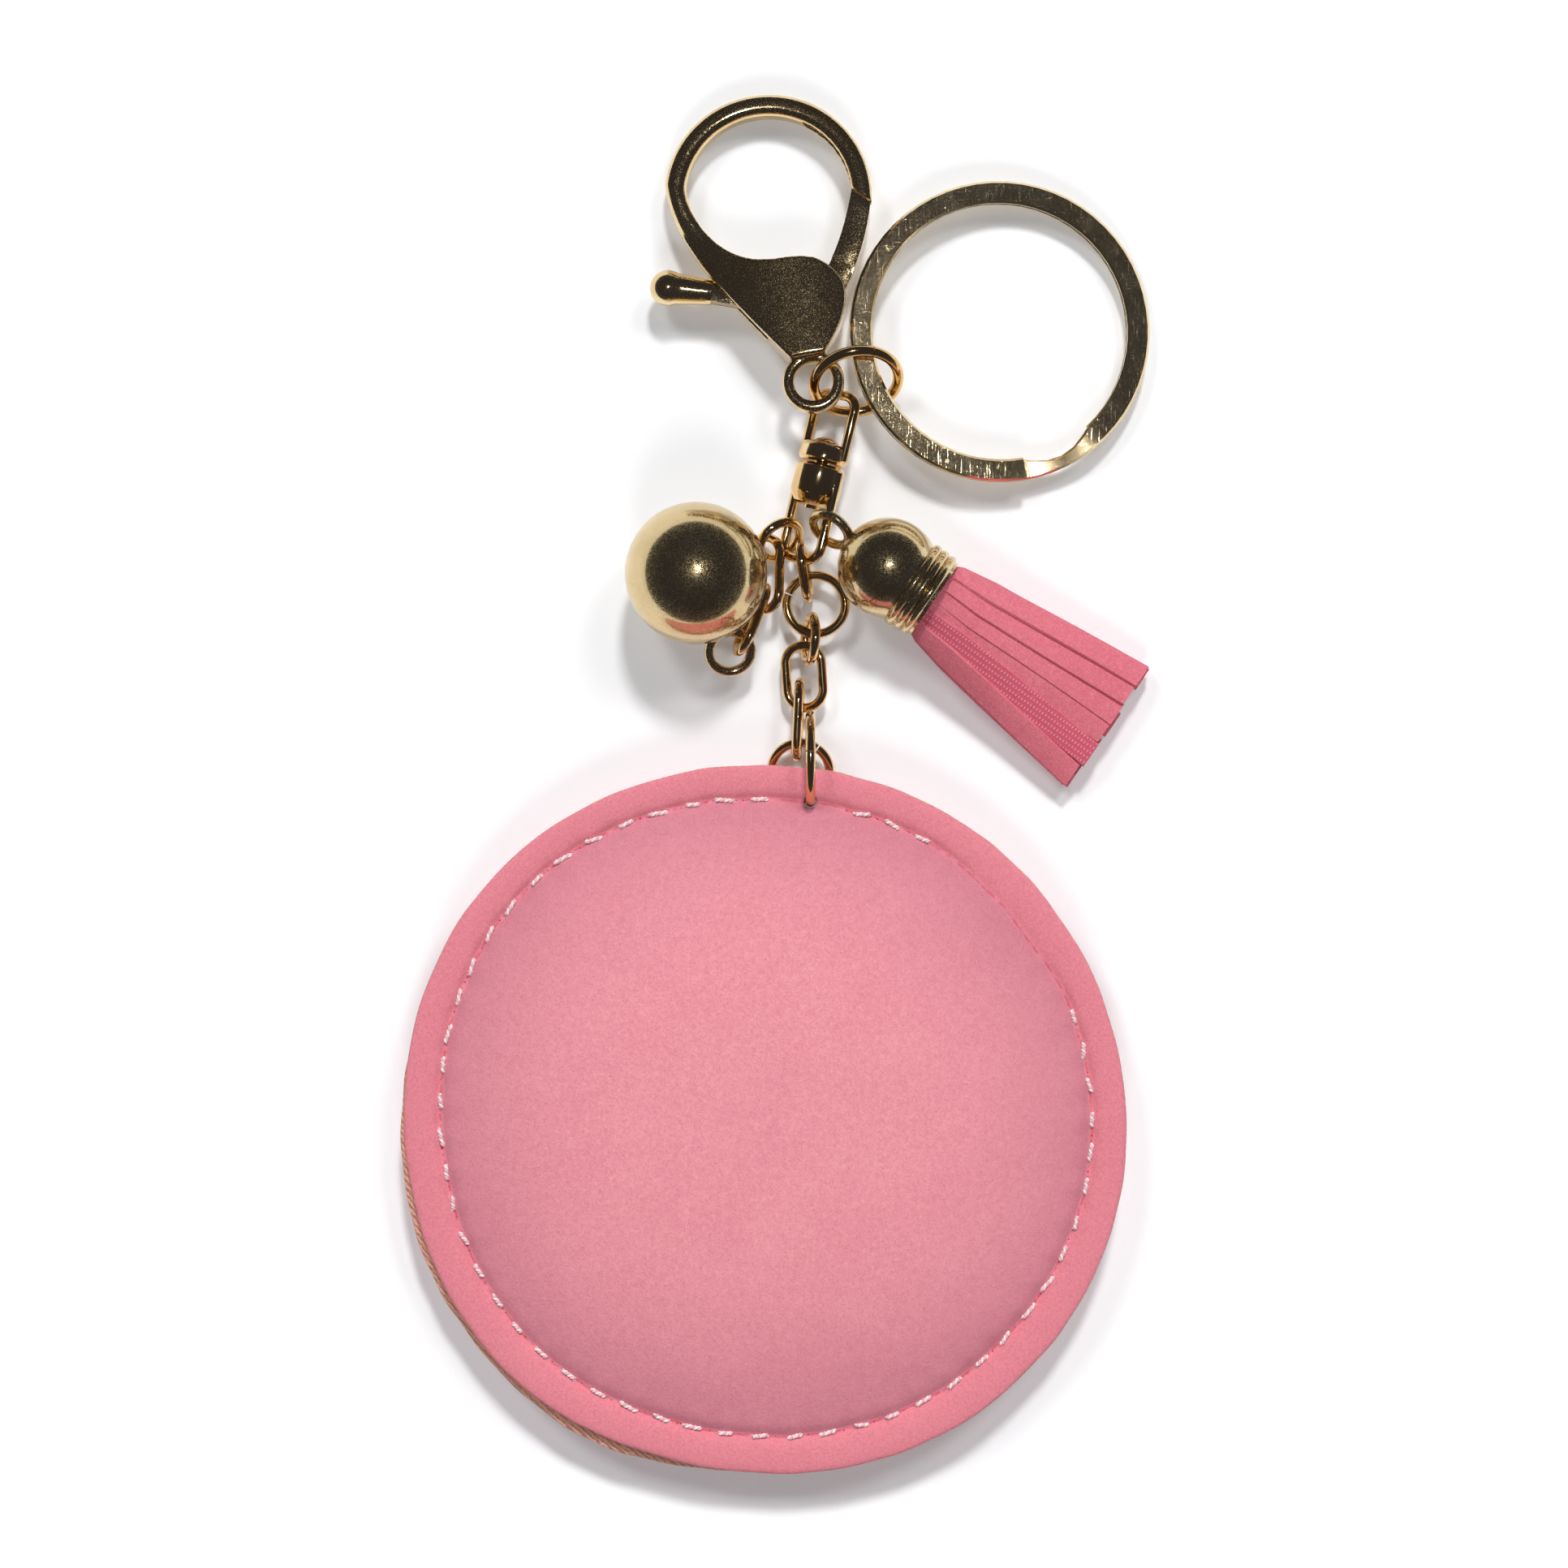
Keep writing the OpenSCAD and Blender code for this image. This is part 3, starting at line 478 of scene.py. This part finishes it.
def run_on():
    """Sections of the band from the hook's end on into the plate."""
    sections = []
    for a in HOOK_END:
        d = Vector((math.cos(math.radians(a)), math.sin(math.radians(a))))
        sections.append(band_section(d * HOOK_OUTER, d * HOOK_INNER, 1.0))
    for k in range(1, RUN_STEPS + 1):
        t = k / RUN_STEPS
        outer = bezier(OUTER_SHARE * t, *OUTER_RUN)
        inner = bezier(INNER_SHARE * t, *INNER_RUN)
        sections.append(band_section(outer, inner, 1 - eased((t - FADE_FROM) / (1 - FADE_FROM))))
    return sections


def pin_plug(side):
    """Two rings of a plug that closes one end of the pin's hole."""
    turns = [2 * math.pi * k / PLUG_SIDES for k in range(PLUG_SIDES)]
    return [[(PIVOT.x + PLUG_R * math.cos(w), PIVOT.y + PLUG_R * math.sin(w), side * h) for w in turns]
            for h in (PLUG_FROM, crown(PIVOT))]


def keep_largest(o):
    """Drops the crumbs that remeshing leaves beside the casting."""
    bm = bmesh.new()
    bm.from_mesh(o.data)
    left = set(bm.verts)
    pieces = []
    while left:
        piece = []
        reached = [left.pop()]
        while reached:
            v = reached.pop()
            piece.append(v)
            for e in v.link_edges:
                w = e.other_vert(v)
                if w in left:
                    left.remove(w)
                    reached.append(w)
        pieces.append(piece)
    pieces.sort(key=len)
    bmesh.ops.delete(bm, geom=[v for piece in pieces[:-1] for v in piece], context="VERTS")
    bm.to_mesh(o.data)
    bm.free()


def smoothed(o, name, steps):
    """Adds a smoothing modifier."""
    smooth = o.modifiers.new(name, "SMOOTH")
    smooth.factor = 0.5
    smooth.iterations = steps
    return smooth


def wear(o):
    """Smooths the casting where the hook runs into the plate and over the pin's ends."""
    group = o.vertex_groups.new(name="blended")
    for at, reach in WORN:
        at = CLASP @ Vector(at) * MM
        for v in o.data.vertices:
            away = (v.co - at).length / (reach * MM)
            if away < 2:
                group.add([v.index], bell(away, 1, 4), "ADD")
    smoothed(o, "worn", 30).vertex_group = "blended"


def cast_clasp():
    """The cast body: the CAD solid with its hook run on into the plate and its pin hole closed, tumbled."""
    bm = bmesh.new()
    bm.from_mesh(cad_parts["clasp_body"].data)
    loft(bm, run_on())
    for side in (1, -1):
        loft(bm, pin_plug(side))
    bmesh.ops.remove_doubles(bm, verts=bm.verts, dist=WELD * MM)
    bmesh.ops.recalc_face_normals(bm, faces=bm.faces)
    o = added("clasp_cast", mesh_of(bm, "clasp_cast"))
    o.data.materials.clear()
    o.data.materials.append(GOLD_CAST)
    cast = o.modifiers.new("cast", "REMESH")
    cast.mode = "VOXEL"
    cast.voxel_size = CAST_VOXEL * MM
    cast.use_smooth_shade = True
    smoothed(o, "tumbled", 10)
    applied(o)
    keep_largest(o)
    wear(o)
    grown = o.modifiers.new("grown", "DISPLACE")
    grown.strength = CAST_GROWN * MM
    grown.mid_level = 0.0
    applied(o)
    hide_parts("clasp_body")
    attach(o, "clasp")


def middle(node):
    """The middle of a CAD node's box."""
    low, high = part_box(node)
    return (low + high) / (2 * MM)


# The disc: its middle, and the plane where its two panels meet, to the micrometre.
DISC = Vector([round(c, 3) for c in middle("disc_padding").xy])
SEAM_Z = round(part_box("disc_front_panel")[0].z / MM, 3)

# The front panel's cut edge: mean radius, waves with a cosine and a sine part, and roughness.
EDGE_R = 35.65
EDGE_WAVES = ((1, -0.36, -0.08), (2, 0.35, -0.27), (3, 0, -0.07), (4, -0.18, 0), (5, 0.08, 0),
              (6, 0, -0.05))
EDGE_ROUGH = 0.14

# The back panel's cut edge against the front one, and where it shows: reach, angle and spread.
BACK_INSET = 0.25
BACK_RIPPLE = 0.05
BACK_SHOWS = ((0.75, 196, 26), (1.0, 244, 17), (0.35, 222, 30))

# The seam: its mean radius, its place inside the cut edge, and the angles where the stitches are sunk.
SEAM_R = 32.0
SEAM_INSET = 3.55
SEAM_SHIFT = 0.25
SEAM_SHIFT_DIR = math.radians(265)
SEAM_WAVE = 0.12
STITCHES = 59
SUNK = (24.0, 55.0)
SUNK_SPREAD = 14.5
SUNK_INSET = 0.5

# The hole, a little above the disc ring's lowest point, its angle round the disc, and the angle kept clear.
HOLE_RISE = 0.54
HOLE_X = round(middle("disc_ring").x, 3)
HOLE_Y = round(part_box("disc_ring")[0].y / MM + HOLE_RISE, 3)
HOLE_R = 0.66
HOLE_DIR = math.degrees(math.atan2(HOLE_Y - DISC.y, HOLE_X - DISC.x))
HOLE_CLEAR = 3.6
PUNCH_LENGTH = 12

# The panels' heights over the seam plane: on the seam, and the crowns' rise. The back's middle is flat.
SEAM_RISE = 0.75
FRONT_RISE = 3.62
FRONT_POWER = 2.35
BACK_RISE = 4.05
BACK_POWER = 2.9
BACK_FLAT = 0.55

# Steps from the seam to the cut edge, as shares of the flange's width and of its thickness.
GRID = 88
SUEDE_FACE = 0
CUT_FACE = 1
FLANGE_T = 0.95
FLANGE_WAVE = 0.12
PANEL_GAP = 0.02
FLANGE = ((0.1, 0.84), (0.22, 0.97), (0.38, 1.05), (0.55, 1.09), (0.72, 1.08), (0.86, 1.02), (0.94, 0.93),
          (0.985, 0.78))
CUT = ((1.0, 0.55), (0.998, 0.25))
STEPS = ([(share, FLANGE_T * h, SUEDE_FACE) for share, h in FLANGE]
         + [(share, FLANGE_T * h, CUT_FACE) for share, h in CUT] + [(0.99, PANEL_GAP, CUT_FACE)])

# The cloth simulation: how much larger it runs, its frames, and what is sewn down by radius and by height.
SIM_SCALE = 20.0
SIM_FRAMES = 20
SEWN_INSET = 1.2
SEWN_HEIGHT = 0.1

# The thread's groove, its dimples at the stitches' ends and the puffs beside it: depth and spread.
GROOVE = (0.3, 0.42)
DIMPLE = (0.13, 0.8)
PUFF = (0.1, 0.7)
PUFF_INSET = 1.3
GROOVE_REACH = 2.4
GROOVE_HEIGHT = 0.3
SUNK_EASE = 0.85


def near(a, b):
    """Angle between two directions."""
    return abs((a - b + 180) % 360 - 180)


def disc_point(r, th, z):
    """A point by its radius and angle round the disc's middle and its height over the seam plane."""
    return (DISC.x + r * math.cos(th), DISC.y + r * math.sin(th), SEAM_Z + z)


def outline(th):
    """The front panel's slightly wavy cut edge, measured round the disc's middle."""
    waves = sum(a * math.cos(n * th) + b * math.sin(n * th) for n, a, b in EDGE_WAVES)
    return EDGE_R + waves + EDGE_ROUGH * noise(Vector((8 * math.cos(th), 8 * math.sin(th), 2.0)))


def back_outline(th):
    """The back panel's cut edge, which shows past the front one on the left and at the bottom."""
    d = math.degrees(th)
    show = sum(reach * bell(near(d, middle), spread) for reach, middle, spread in BACK_SHOWS)
    return outline(th) - BACK_INSET + show + BACK_RIPPLE * math.sin(40 * th)


def sunk(th):
    """1 where the stitches are sunk out of sight, fading to 0 beside it."""
    return bell(near(math.degrees(th), sum(SUNK) / 2), SUNK_SPREAD, 4)


def seam_radius(th):
    """The seam, a little off the cut edge's middle and further in where the stitches are sunk."""
    wander = SEAM_WAVE * math.sin(3 * th + 0.6) - SEAM_SHIFT * math.cos(th - SEAM_SHIFT_DIR)
    return outline(th) - SEAM_INSET + wander - SUNK_INSET * sunk(th)


def seam_place(v):
    """A vertex's angle round the disc and its distance from the seam, which is below 0 inside it."""
    x = v.co.x / MM - DISC.x
    y = v.co.y / MM - DISC.y
    th = math.atan2(y, x)
    return th, math.hypot(x, y) - seam_radius(th)


def dome(rho, side):
    """Height of a panel over the seam plane inside the seam; rho runs from 0 in the middle to 1 on it."""
    if side > 0:
        return SEAM_RISE + FRONT_RISE * (1 - rho ** FRONT_POWER)
    full = (1 - rho ** BACK_POWER) / (1 - BACK_FLAT ** BACK_POWER)
    return SEAM_RISE + BACK_RISE * (1 - max(0.0, 1 - full) ** 1.25)


def on_disc(u, v):
    """A point of a square, -1 to 1 both ways, as a share of the radius and an angle on a disc."""
    if u == 0 and v == 0:
        return 0.0, 0.0
    if abs(u) > abs(v):
        rho = u
        th = math.pi / 4 * v / u
    else:
        rho = v
        th = math.pi / 2 - math.pi / 4 * u / v
    return (rho, th) if rho > 0 else (-rho, th + math.pi)


def flange_height(th, side, share, height):
    """The flange's height over the seam plane, wavier towards the cut edge. Its lowest ring lies flat."""
    if height <= PANEL_GAP:
        return PANEL_GAP
    wave = noise(Vector((3 * math.cos(th), 3 * math.sin(th), side))) + math.sin(5 * th) * 0.4
    return max(PANEL_GAP, height + FLANGE_WAVE * share * wave)


def panel(name, side, edge_of, mats):
    """A closed suede panel: crown inside the seam, flange and cut edge outside it, flat underneath."""
    verts = []
    ids = {}
    for i in range(GRID + 1):
        for j in range(GRID + 1):
            rho, th = on_disc(2 * i / GRID - 1, 2 * j / GRID - 1)
            ids[i, j] = len(verts)
            verts.append(disc_point(rho * seam_radius(th), th, side * dome(rho, side)))
    cells = [[ids[i, j], ids[i + 1, j], ids[i + 1, j + 1], ids[i, j + 1]]
             for i in range(GRID) for j in range(GRID)]
    faces = list(cells)
    index = [SUEDE_FACE] * len(cells)
    ring = ([ids[GRID, j] for j in range(GRID)] + [ids[i, GRID] for i in range(GRID, 0, -1)]
            + [ids[0, j] for j in range(GRID, 0, -1)] + [ids[i, 0] for i in range(GRID)])
    turns = [math.atan2(verts[k][1] - DISC.y, verts[k][0] - DISC.x) for k in ring]
    last = ring
    for share, height, kind in STEPS:
        now = []
        for th in turns:
            seam = seam_radius(th)
            r = seam + (edge_of(th) - seam) * share
            now.append(len(verts))
            verts.append(disc_point(r, th, side * flange_height(th, side, share, height)))
        for k in range(len(ring)):
            q = (k + 1) % len(ring)
            faces.append([last[k], now[k], now[q], last[q]])
            index.append(kind)
        last = now
    under = dict(zip(ring, last))
    for k in ids.values():
        if k not in under:
            under[k] = len(verts)
            verts.append((verts[k][0], verts[k][1], SEAM_Z + side * PANEL_GAP))
    for a, b, c, d in cells:
        faces.append([under[a], under[d], under[c], under[b]])
        index.append(SUEDE_FACE)
    if side < 0:
        faces = [face[::-1] for face in faces]
    return mesh_object(name, verts, faces, mats, index)


def swell(o, side, pressure, cap):
    """Cloth simulation of a stuffed panel: the crown is free, the flange and seam are sewn down.

    No point moves further than cap."""
    start = o.data.copy()
    start.transform(Matrix.Translation(-Vector((DISC.x * MM, DISC.y * MM, SEAM_Z * MM))))
    start.transform(Matrix.Scale(SIM_SCALE, 4))
    sim = added("sim", start)
    pins = sim.vertex_groups.new(name="sewn")
    free = (SEAM_R - SEWN_INSET) * MM * SIM_SCALE
    for v in start.vertices:
        sewn = v.co.xy.length > free or side * v.co.z < SEWN_HEIGHT * MM * SIM_SCALE
        pins.add([v.index], 1.0 if sewn else 0.0, "REPLACE")
    cloth = sim.modifiers.new("cloth", "CLOTH")
    cloth.settings.vertex_group_mass = "sewn"
    cloth.settings.quality = 6
    cloth.settings.mass = 0.05
    cloth.settings.tension_stiffness = 12
    cloth.settings.compression_stiffness = 12
    cloth.settings.bending_stiffness = 0.4
    cloth.settings.use_pressure = True
    cloth.settings.uniform_pressure_force = pressure
    cloth.settings.effector_weights.gravity = 0
    cloth.point_cache.frame_start = 1
    cloth.point_cache.frame_end = SIM_FRAMES
    for f in range(1, SIM_FRAMES + 1):
        scene.frame_set(f)
    graph = bpy.context.evaluated_depsgraph_get()
    swollen = sim.evaluated_get(graph).to_mesh()
    for before, after, v in zip(start.vertices, swollen.vertices, o.data.vertices):
        step = (after.co - before.co) / SIM_SCALE
        if step.length > cap * MM:
            step *= cap * MM / step.length
        v.co += step
    scene.frame_set(1)
    bpy.data.objects.remove(sim)


def seam_dimples(o, side):
    """The thread draws the suede into a groove, deepest where it goes down, and it puffs up inside that."""
    for v in o.data.vertices:
        th, off = seam_place(v)
        if abs(off) > GROOVE_REACH or side * (v.co.z / MM - SEAM_Z) < GROOVE_HEIGHT:
            continue
        phase = 0.5 - 0.5 * math.cos(th * STITCHES + (0 if side > 0 else math.pi))
        pull = GROOVE[0] * bell(off, GROOVE[1]) + DIMPLE[0] * phase * bell(off, DIMPLE[1])
        pull *= 1 - SUNK_EASE * sunk(th)
        puff = PUFF[0] * (1 - phase) * bell(off + PUFF_INSET, PUFF[1])
        v.co.z += side * (puff - pull) * MM


def punched(o):
    """Cuts a round hole where the disc ring passes through."""
    bm = bmesh.new()
    at = Matrix.Translation((HOLE_X * MM, HOLE_Y * MM, SEAM_Z * MM))
    bmesh.ops.create_cone(bm, cap_ends=True, segments=28, radius1=HOLE_R * MM, radius2=HOLE_R * MM,
                          depth=PUNCH_LENGTH * MM, matrix=at)
    punch = added("punch", mesh_of(bm, "punch"))
    cut = o.modifiers.new("punched", "BOOLEAN")
    cut.object = punch
    cut.operation = "DIFFERENCE"
    applied(o)
    bpy.data.objects.remove(punch)


def soft_panel(name, side, edge_of, mats, pressure, cap, nodes):
    """One panel of the disc, stuffed, sewn and punched. It keeps seam_off for the shading."""
    o = panel(name, side, edge_of, mats)
    swell(o, side, pressure, cap)
    for v in o.data.vertices:
        v.co.z = max(v.co.z, 0.0)
    o.modifiers.new("sub", "SUBSURF").levels = 1
    applied(o)
    seam_dimples(o, side)
    punched(o)
    for face in o.data.polygons:
        face.use_smooth = True
    off = o.data.attributes.new("seam_off", "FLOAT", "POINT")
    for v, d in zip(o.data.vertices, off.data):
        d.value = seam_place(v)[1]
    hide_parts(*nodes)
    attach(o, "disc")


# The stitches: a ply's radius, height, twist, turns and points, and how it goes down at both ends.
PLY_R = 0.135
PLY_Z = 0.66
PLY_TWIST = 0.12
PLY_TURNS = 2.4
PLY_POINTS = 15
PLY_DIVE = 0.42
DIVE_FROM = 0.72

# The needle holes, dark dots of painted shade: their places in half stitches, their heights, and their
# number in the list of materials.
DOT_PLACES = (-1.12, 1.12, 1.75)
DOT_HEIGHTS = (0.2, 0.3, 0.42)
DOT_FACE = 2


def shown_stitch(a):
    """Whether the stitch at an angle shows: not over the hole, and not where the thread is sunk."""
    return near(a, HOLE_DIR) > HOLE_CLEAR and not SUNK[0] < a < SUNK[1]


def tube(verts, faces, index, path, radius, kind, sides=7):
    """Adds a round closed tube along a path of points to lists of vertices, faces and material numbers."""
    start = len(verts)
    last = len(path) - 1
    for i, p in enumerate(path):
        t = (path[min(i + 1, last)] - path[max(i - 1, 0)]).normalized()
        a = t.cross(Vector((0, 0, 1)) if abs(t.z) < 0.9 else Vector((1, 0, 0))).normalized()
        b = t.cross(a)
        r = radius * (0.55 if i in (0, last) else 1.0)
        for k in range(sides):
            w = 2 * math.pi * k / sides
            verts.append(p + r * (a * math.cos(w) + b * math.sin(w)))
    new = skin([[start + i * sides + k for k in range(sides)] for i in range(last + 1)])
    faces += new
    index += [kind] * len(new)


def ply_path(th, half, slant, side, phase):
    """The path of one ply of a stitch that is half long to each side, in radians."""
    path = []
    for k in range(PLY_POINTS):
        f = 2 * k / (PLY_POINTS - 1) - 1
        w = math.pi * PLY_TURNS * f + phase
        t = th + f * half
        dive = PLY_DIVE * max(0.0, abs(f) - DIVE_FROM) / (1 - DIVE_FROM)
        r = seam_radius(t) + slant * f + PLY_TWIST * math.cos(w)
        z = side * (PLY_Z - dive + PLY_TWIST * math.sin(w))
        path.append(Vector(disc_point(r, t, z)))
    return path


def sew():
    """The thread: stitches of two plies on both faces, each with dark dots of painted shade for the needle
    holes at its ends.
    """
    rng = random.Random(7)
    verts = []
    faces = []
    index = []
    for side, shift in ((1, 0.0), (-1, 0.5)):
        for i in range(STITCHES):
            a = 360 * (i + shift) / STITCHES
            if not shown_stitch(a % 360):
                continue
            th = math.radians(a + rng.uniform(-0.35, 0.35))
            half = math.radians(rng.uniform(2.5, 3.8)) / 2
            slant = rng.uniform(-0.2, 0.2)
            for ply in (0, 1):
                path = ply_path(th, half, slant, side, math.pi * ply + i)
                tube(verts, faces, index, path, PLY_R, ply)
            # Dark dots of painted shade where the needle went through.
            for f in DOT_PLACES:
                t = th + f * half
                r = seam_radius(t) + rng.uniform(-0.08, 0.08)
                path = [Vector(disc_point(r, t, side * h)) for h in DOT_HEIGHTS]
                tube(verts, faces, index, path, rng.uniform(0.1, 0.17), DOT_FACE, 6)
    threads = mesh_object("disc_thread", verts, faces, [THREAD_WHITE, THREAD_PINK, NEEDLE_HOLE_SHADE], index)
    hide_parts("disc_stitching")
    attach(threads, "disc")


# The fringe's rows, each with its layer, from 1 on top to -1 on the table, and its number of strips.
ROWS = (("top", 1.0, 6), ("mid", 0.35, 5), ("low", -0.35, 5), ("base", -1.0, 5))
FIRST_SEED = 20

# A strip: its length outside and inside the cup, where it starts, and its half thickness and half width.
STRIP_LENGTH = 21.5
STRIP_ROOT = 1.3
ROOT_AT = 4.3
STRIP_HALF = 0.34
ROOT_HALF = 0.85
STRIP_STEPS = 34
STRIP_ANGLE = 50

# The fringe's half width in the cup, and what it opens by at the mouth and on its upper and lower side.
CUP_HALF = 2.3
SPRING = 1.0
MOUTH = 0.085
FAN_UPPER = 2.2
FAN_LOWER = 3.7

# The fringe's half height at the cup and what it loses to the end, and the heights it lies down to.
FRINGE_HALF = 2.5
FRINGE_DROP = 1.15
LYING_Z = 1.95
LOWEST_Z = 0.06

# A strip's section in halves of its width and thickness, and the sides that can show the knitted back.
SECTION = ((-1, -0.55), (-1, 0.55), (-0.94, 1), (-0.5, 1), (0, 1), (0.5, 1), (0.94, 1), (1, 0.55),
           (1, -0.55), (0.94, -1), (0.5, -1), (0, -1), (-0.5, -1), (-0.94, -1))
UPPER_SIDES = range(2, 6)
UNDER_SIDES = range(9, 13)


def strip(name, place, layer, width, length, seed, back_up=False):
    """One ribbon: thin rounded section, flat side up, fanned out from the cup, cut square at the end.

    place runs from -1 to 1 across the tassel, and layer from 1 on top to -1 on the table."""
    rng = random.Random(seed)
    wave = rng.uniform(0.04, 0.14)
    lean = rng.uniform(-0.2, 0.2)
    roll = math.radians(rng.uniform(-7, -1))
    phase = rng.uniform(0, 6)
    fan = FAN_UPPER if place > 0 else FAN_LOWER
    bow = math.sqrt(max(0.0, 1 - (0.8 * place) ** 2))
    verts = []
    for i in range(STRIP_STEPS + 1):
        t = i / STRIP_STEPS
        spread = CUP_HALF + SPRING * eased(t / MOUTH) + fan * t
        x = ROOT_AT + (length + STRIP_ROOT) * t
        y = spread * place + lean * t + wave * math.sin(4 * t + phase) * t
        fall = (LYING_Z - CAP.z) * (t + 0.18 * math.sin(math.pi * t))
        z = layer * bow * (FRINGE_HALF - FRINGE_DROP * t) + fall
        tip = -0.8 * layer * place * (1 - 0.55 * t) + roll * min(1, 3 * t)
        half = ROOT_HALF + (width / 2 - ROOT_HALF) * min(1, t * 4)
        for sx, sz in SECTION:
            rise = sz * STRIP_HALF - 0.1 * sx * sx * layer
            py = y + sx * half * math.cos(tip) - rise * math.sin(tip)
            pz = max(z + sx * half * math.sin(tip) + rise * math.cos(tip), LOWEST_Z - CAP.z)
            verts.append(CAP + ALONG * x + ACROSS * py + UP * pz)
    sides = len(SECTION)
    faces = skin([[i * sides + j for j in range(sides)] for i in range(STRIP_STEPS + 1)])
    knitted = UPPER_SIDES if back_up else UNDER_SIDES
    index = [int(j in knitted) for j in range(sides)] * STRIP_STEPS + [0, 0]
    o = mesh_object(name, verts, faces, [PINK_STRIP, STRIP_BACK], index)
    bm = bmesh.new()
    bm.from_mesh(o.data)
    bmesh.ops.recalc_face_normals(bm, faces=bm.faces)
    bm.to_mesh(o.data)
    bm.free()
    smooth_by_angle(o, STRIP_ANGLE)
    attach(o, "tassel")
    return o


def fringe():
    """Cut suede strips that leave the cup in four rows and lie down on the table. One shows its back."""
    strips = []
    rng = random.Random(11)
    for row, layer, count in ROWS:
        for i in range(count):
            place = 1 - 2 * (i + 0.1) / (count - 0.8)
            width = rng.uniform(2.5, 2.8)
            length = STRIP_LENGTH + rng.uniform(-0.5, 0.3)
            seed = FIRST_SEED + len(strips)
            back_up = row == "top" and i == 4
            strips.append(strip(f"strip_{row}_{i}", place, layer, width, length, seed, back_up))
    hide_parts("tassel_fringe")


# The floor's half size in metres, what it lies below the part, and how much of its white is its own light.
FLOOR_HALF = 3.0
FLOOR_GAP = 0.05
FLOOR_GLOW = 0.1


def pale_floor():
    """The photo's white table. Its own light is seen by the camera and by reflections only."""
    bm = bmesh.new()
    bmesh.ops.create_grid(bm, x_segments=1, y_segments=1, size=FLOOR_HALF)
    floor = added("floor", mesh_of(bm, "floor"))
    floor.location.z = -FLOOR_GAP * MM
    m = Mat("floor_pale")
    tone = m.ramp(m.noise(30), (0.3, (0.93, 0.935, 0.945, 1)), (0.7, (0.94, 0.945, 0.955, 1)))
    path = m.node("ShaderNodeLightPath").outputs
    seen = m.math("MAXIMUM", path["Is Camera Ray"], path["Is Glossy Ray"])
    m.set(Base_Color=tone, Roughness=0.9)
    m.set(Emission_Color=(1, 1, 1, 1), Emission_Strength=m.times(seen, FLOOR_GLOW))
    floor.data.materials.append(m.material)


# The room from the horizon to straight above: place, brightness and how blue it is.
ROOM = ((0.0, 0.3, 0.97), (0.04, 0.12, 0.97), (0.1, 0.05, 1.05), (0.45, 0.032, 1.3), (0.975, 0.032, 1.3),
        (0.992, 0.07, 1.1), (1.0, 0.6, 1.0))


def room():
    """A dark bluish room that is pale near the horizon and straight above."""
    world = bpy.data.worlds.new("studio")
    scene.world = world
    world.use_nodes = True
    tree = world.node_tree
    coord = tree.nodes.new("ShaderNodeTexCoord")
    split = tree.nodes.new("ShaderNodeSeparateXYZ")
    sky = tree.nodes.new("ShaderNodeValToRGB")
    fill_ramp(sky.color_ramp, [(place, (c, c, c * blue, 1)) for place, c, blue in ROOM])
    tree.links.new(coord.outputs["Generated"], split.inputs[0])
    tree.links.new(split.outputs["Z"], sky.inputs[0])
    tree.links.new(sky.outputs[0], tree.nodes["Background"].inputs["Color"])


# The suns: where each one stands, its strength and its width. The flash is placed in metres.
SUNS = (("key", (0.1, 0.85, 1.0), 1.85, 8), ("key_left", (-0.55, 0.7, 1.0), 0.7, 14),
        ("key_right", (0.55, 0.7, 1.0), 0.7, 14), ("fill", (0.0, -0.9, 1.0), 0.8, 20))
FLASH_AT = (0.03, 0.075, 0.52)
FLASH_ENERGY = 1.35
FLASH_R = 0.011


def lamps():
    """Soft suns that reflections don't show, and a flash that only reflections show."""
    for name, towards, energy, width in SUNS:
        sun = bpy.data.lights.new(name, "SUN")
        sun.energy = energy
        sun.angle = math.radians(width)
        lamp = added(name, sun)
        lamp.visible_glossy = False
        lamp.rotation_euler = Vector(towards).to_track_quat("Z", "Y").to_euler()
    flash = bpy.data.lights.new("flash", "POINT")
    flash.energy = FLASH_ENERGY
    flash.shadow_soft_size = FLASH_R
    lamp = added("flash", flash)
    lamp.location = FLASH_AT
    lamp.visible_diffuse = False


# The camera looks straight down and takes in the photo's width at the height of the pieces' middles.
PHOTO_PIXELS = 1932
PIXELS_PER_MM = 12.4
VIEW_MIDDLE = (0.30, 0.05)
CAMERA_Z = 500
MIDDLE_Z = 4
SENSOR = 36


def photo_camera():
    """The photo's view."""
    camera = bpy.data.cameras.new("camera")
    camera.sensor_width = SENSOR
    camera.lens = SENSOR * (CAMERA_Z - MIDDLE_Z) / (PHOTO_PIXELS / PIXELS_PER_MM)
    camera.clip_start = 0.01
    camera.clip_end = 20
    o = added("camera", camera)
    o.location = Vector((*VIEW_MIDDLE, CAMERA_Z)) * MM
    scene.camera = o


for name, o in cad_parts.items():
    if name not in REMADE:
        dress(name, o)
cast_clasp()
soft_panel("disc_front_soft", 1, outline, [PINK, CUT_EDGE], 6.0, 0.5, ["disc_front_panel", "disc_padding"])
soft_panel("disc_back_soft", -1, back_outline, [PINK_BACK_SHADED, CUT_EDGE], 6.0, 0.3, ["disc_back_panel"])
sew()
fringe()
pale_floor()
room()
lamps()
photo_camera()
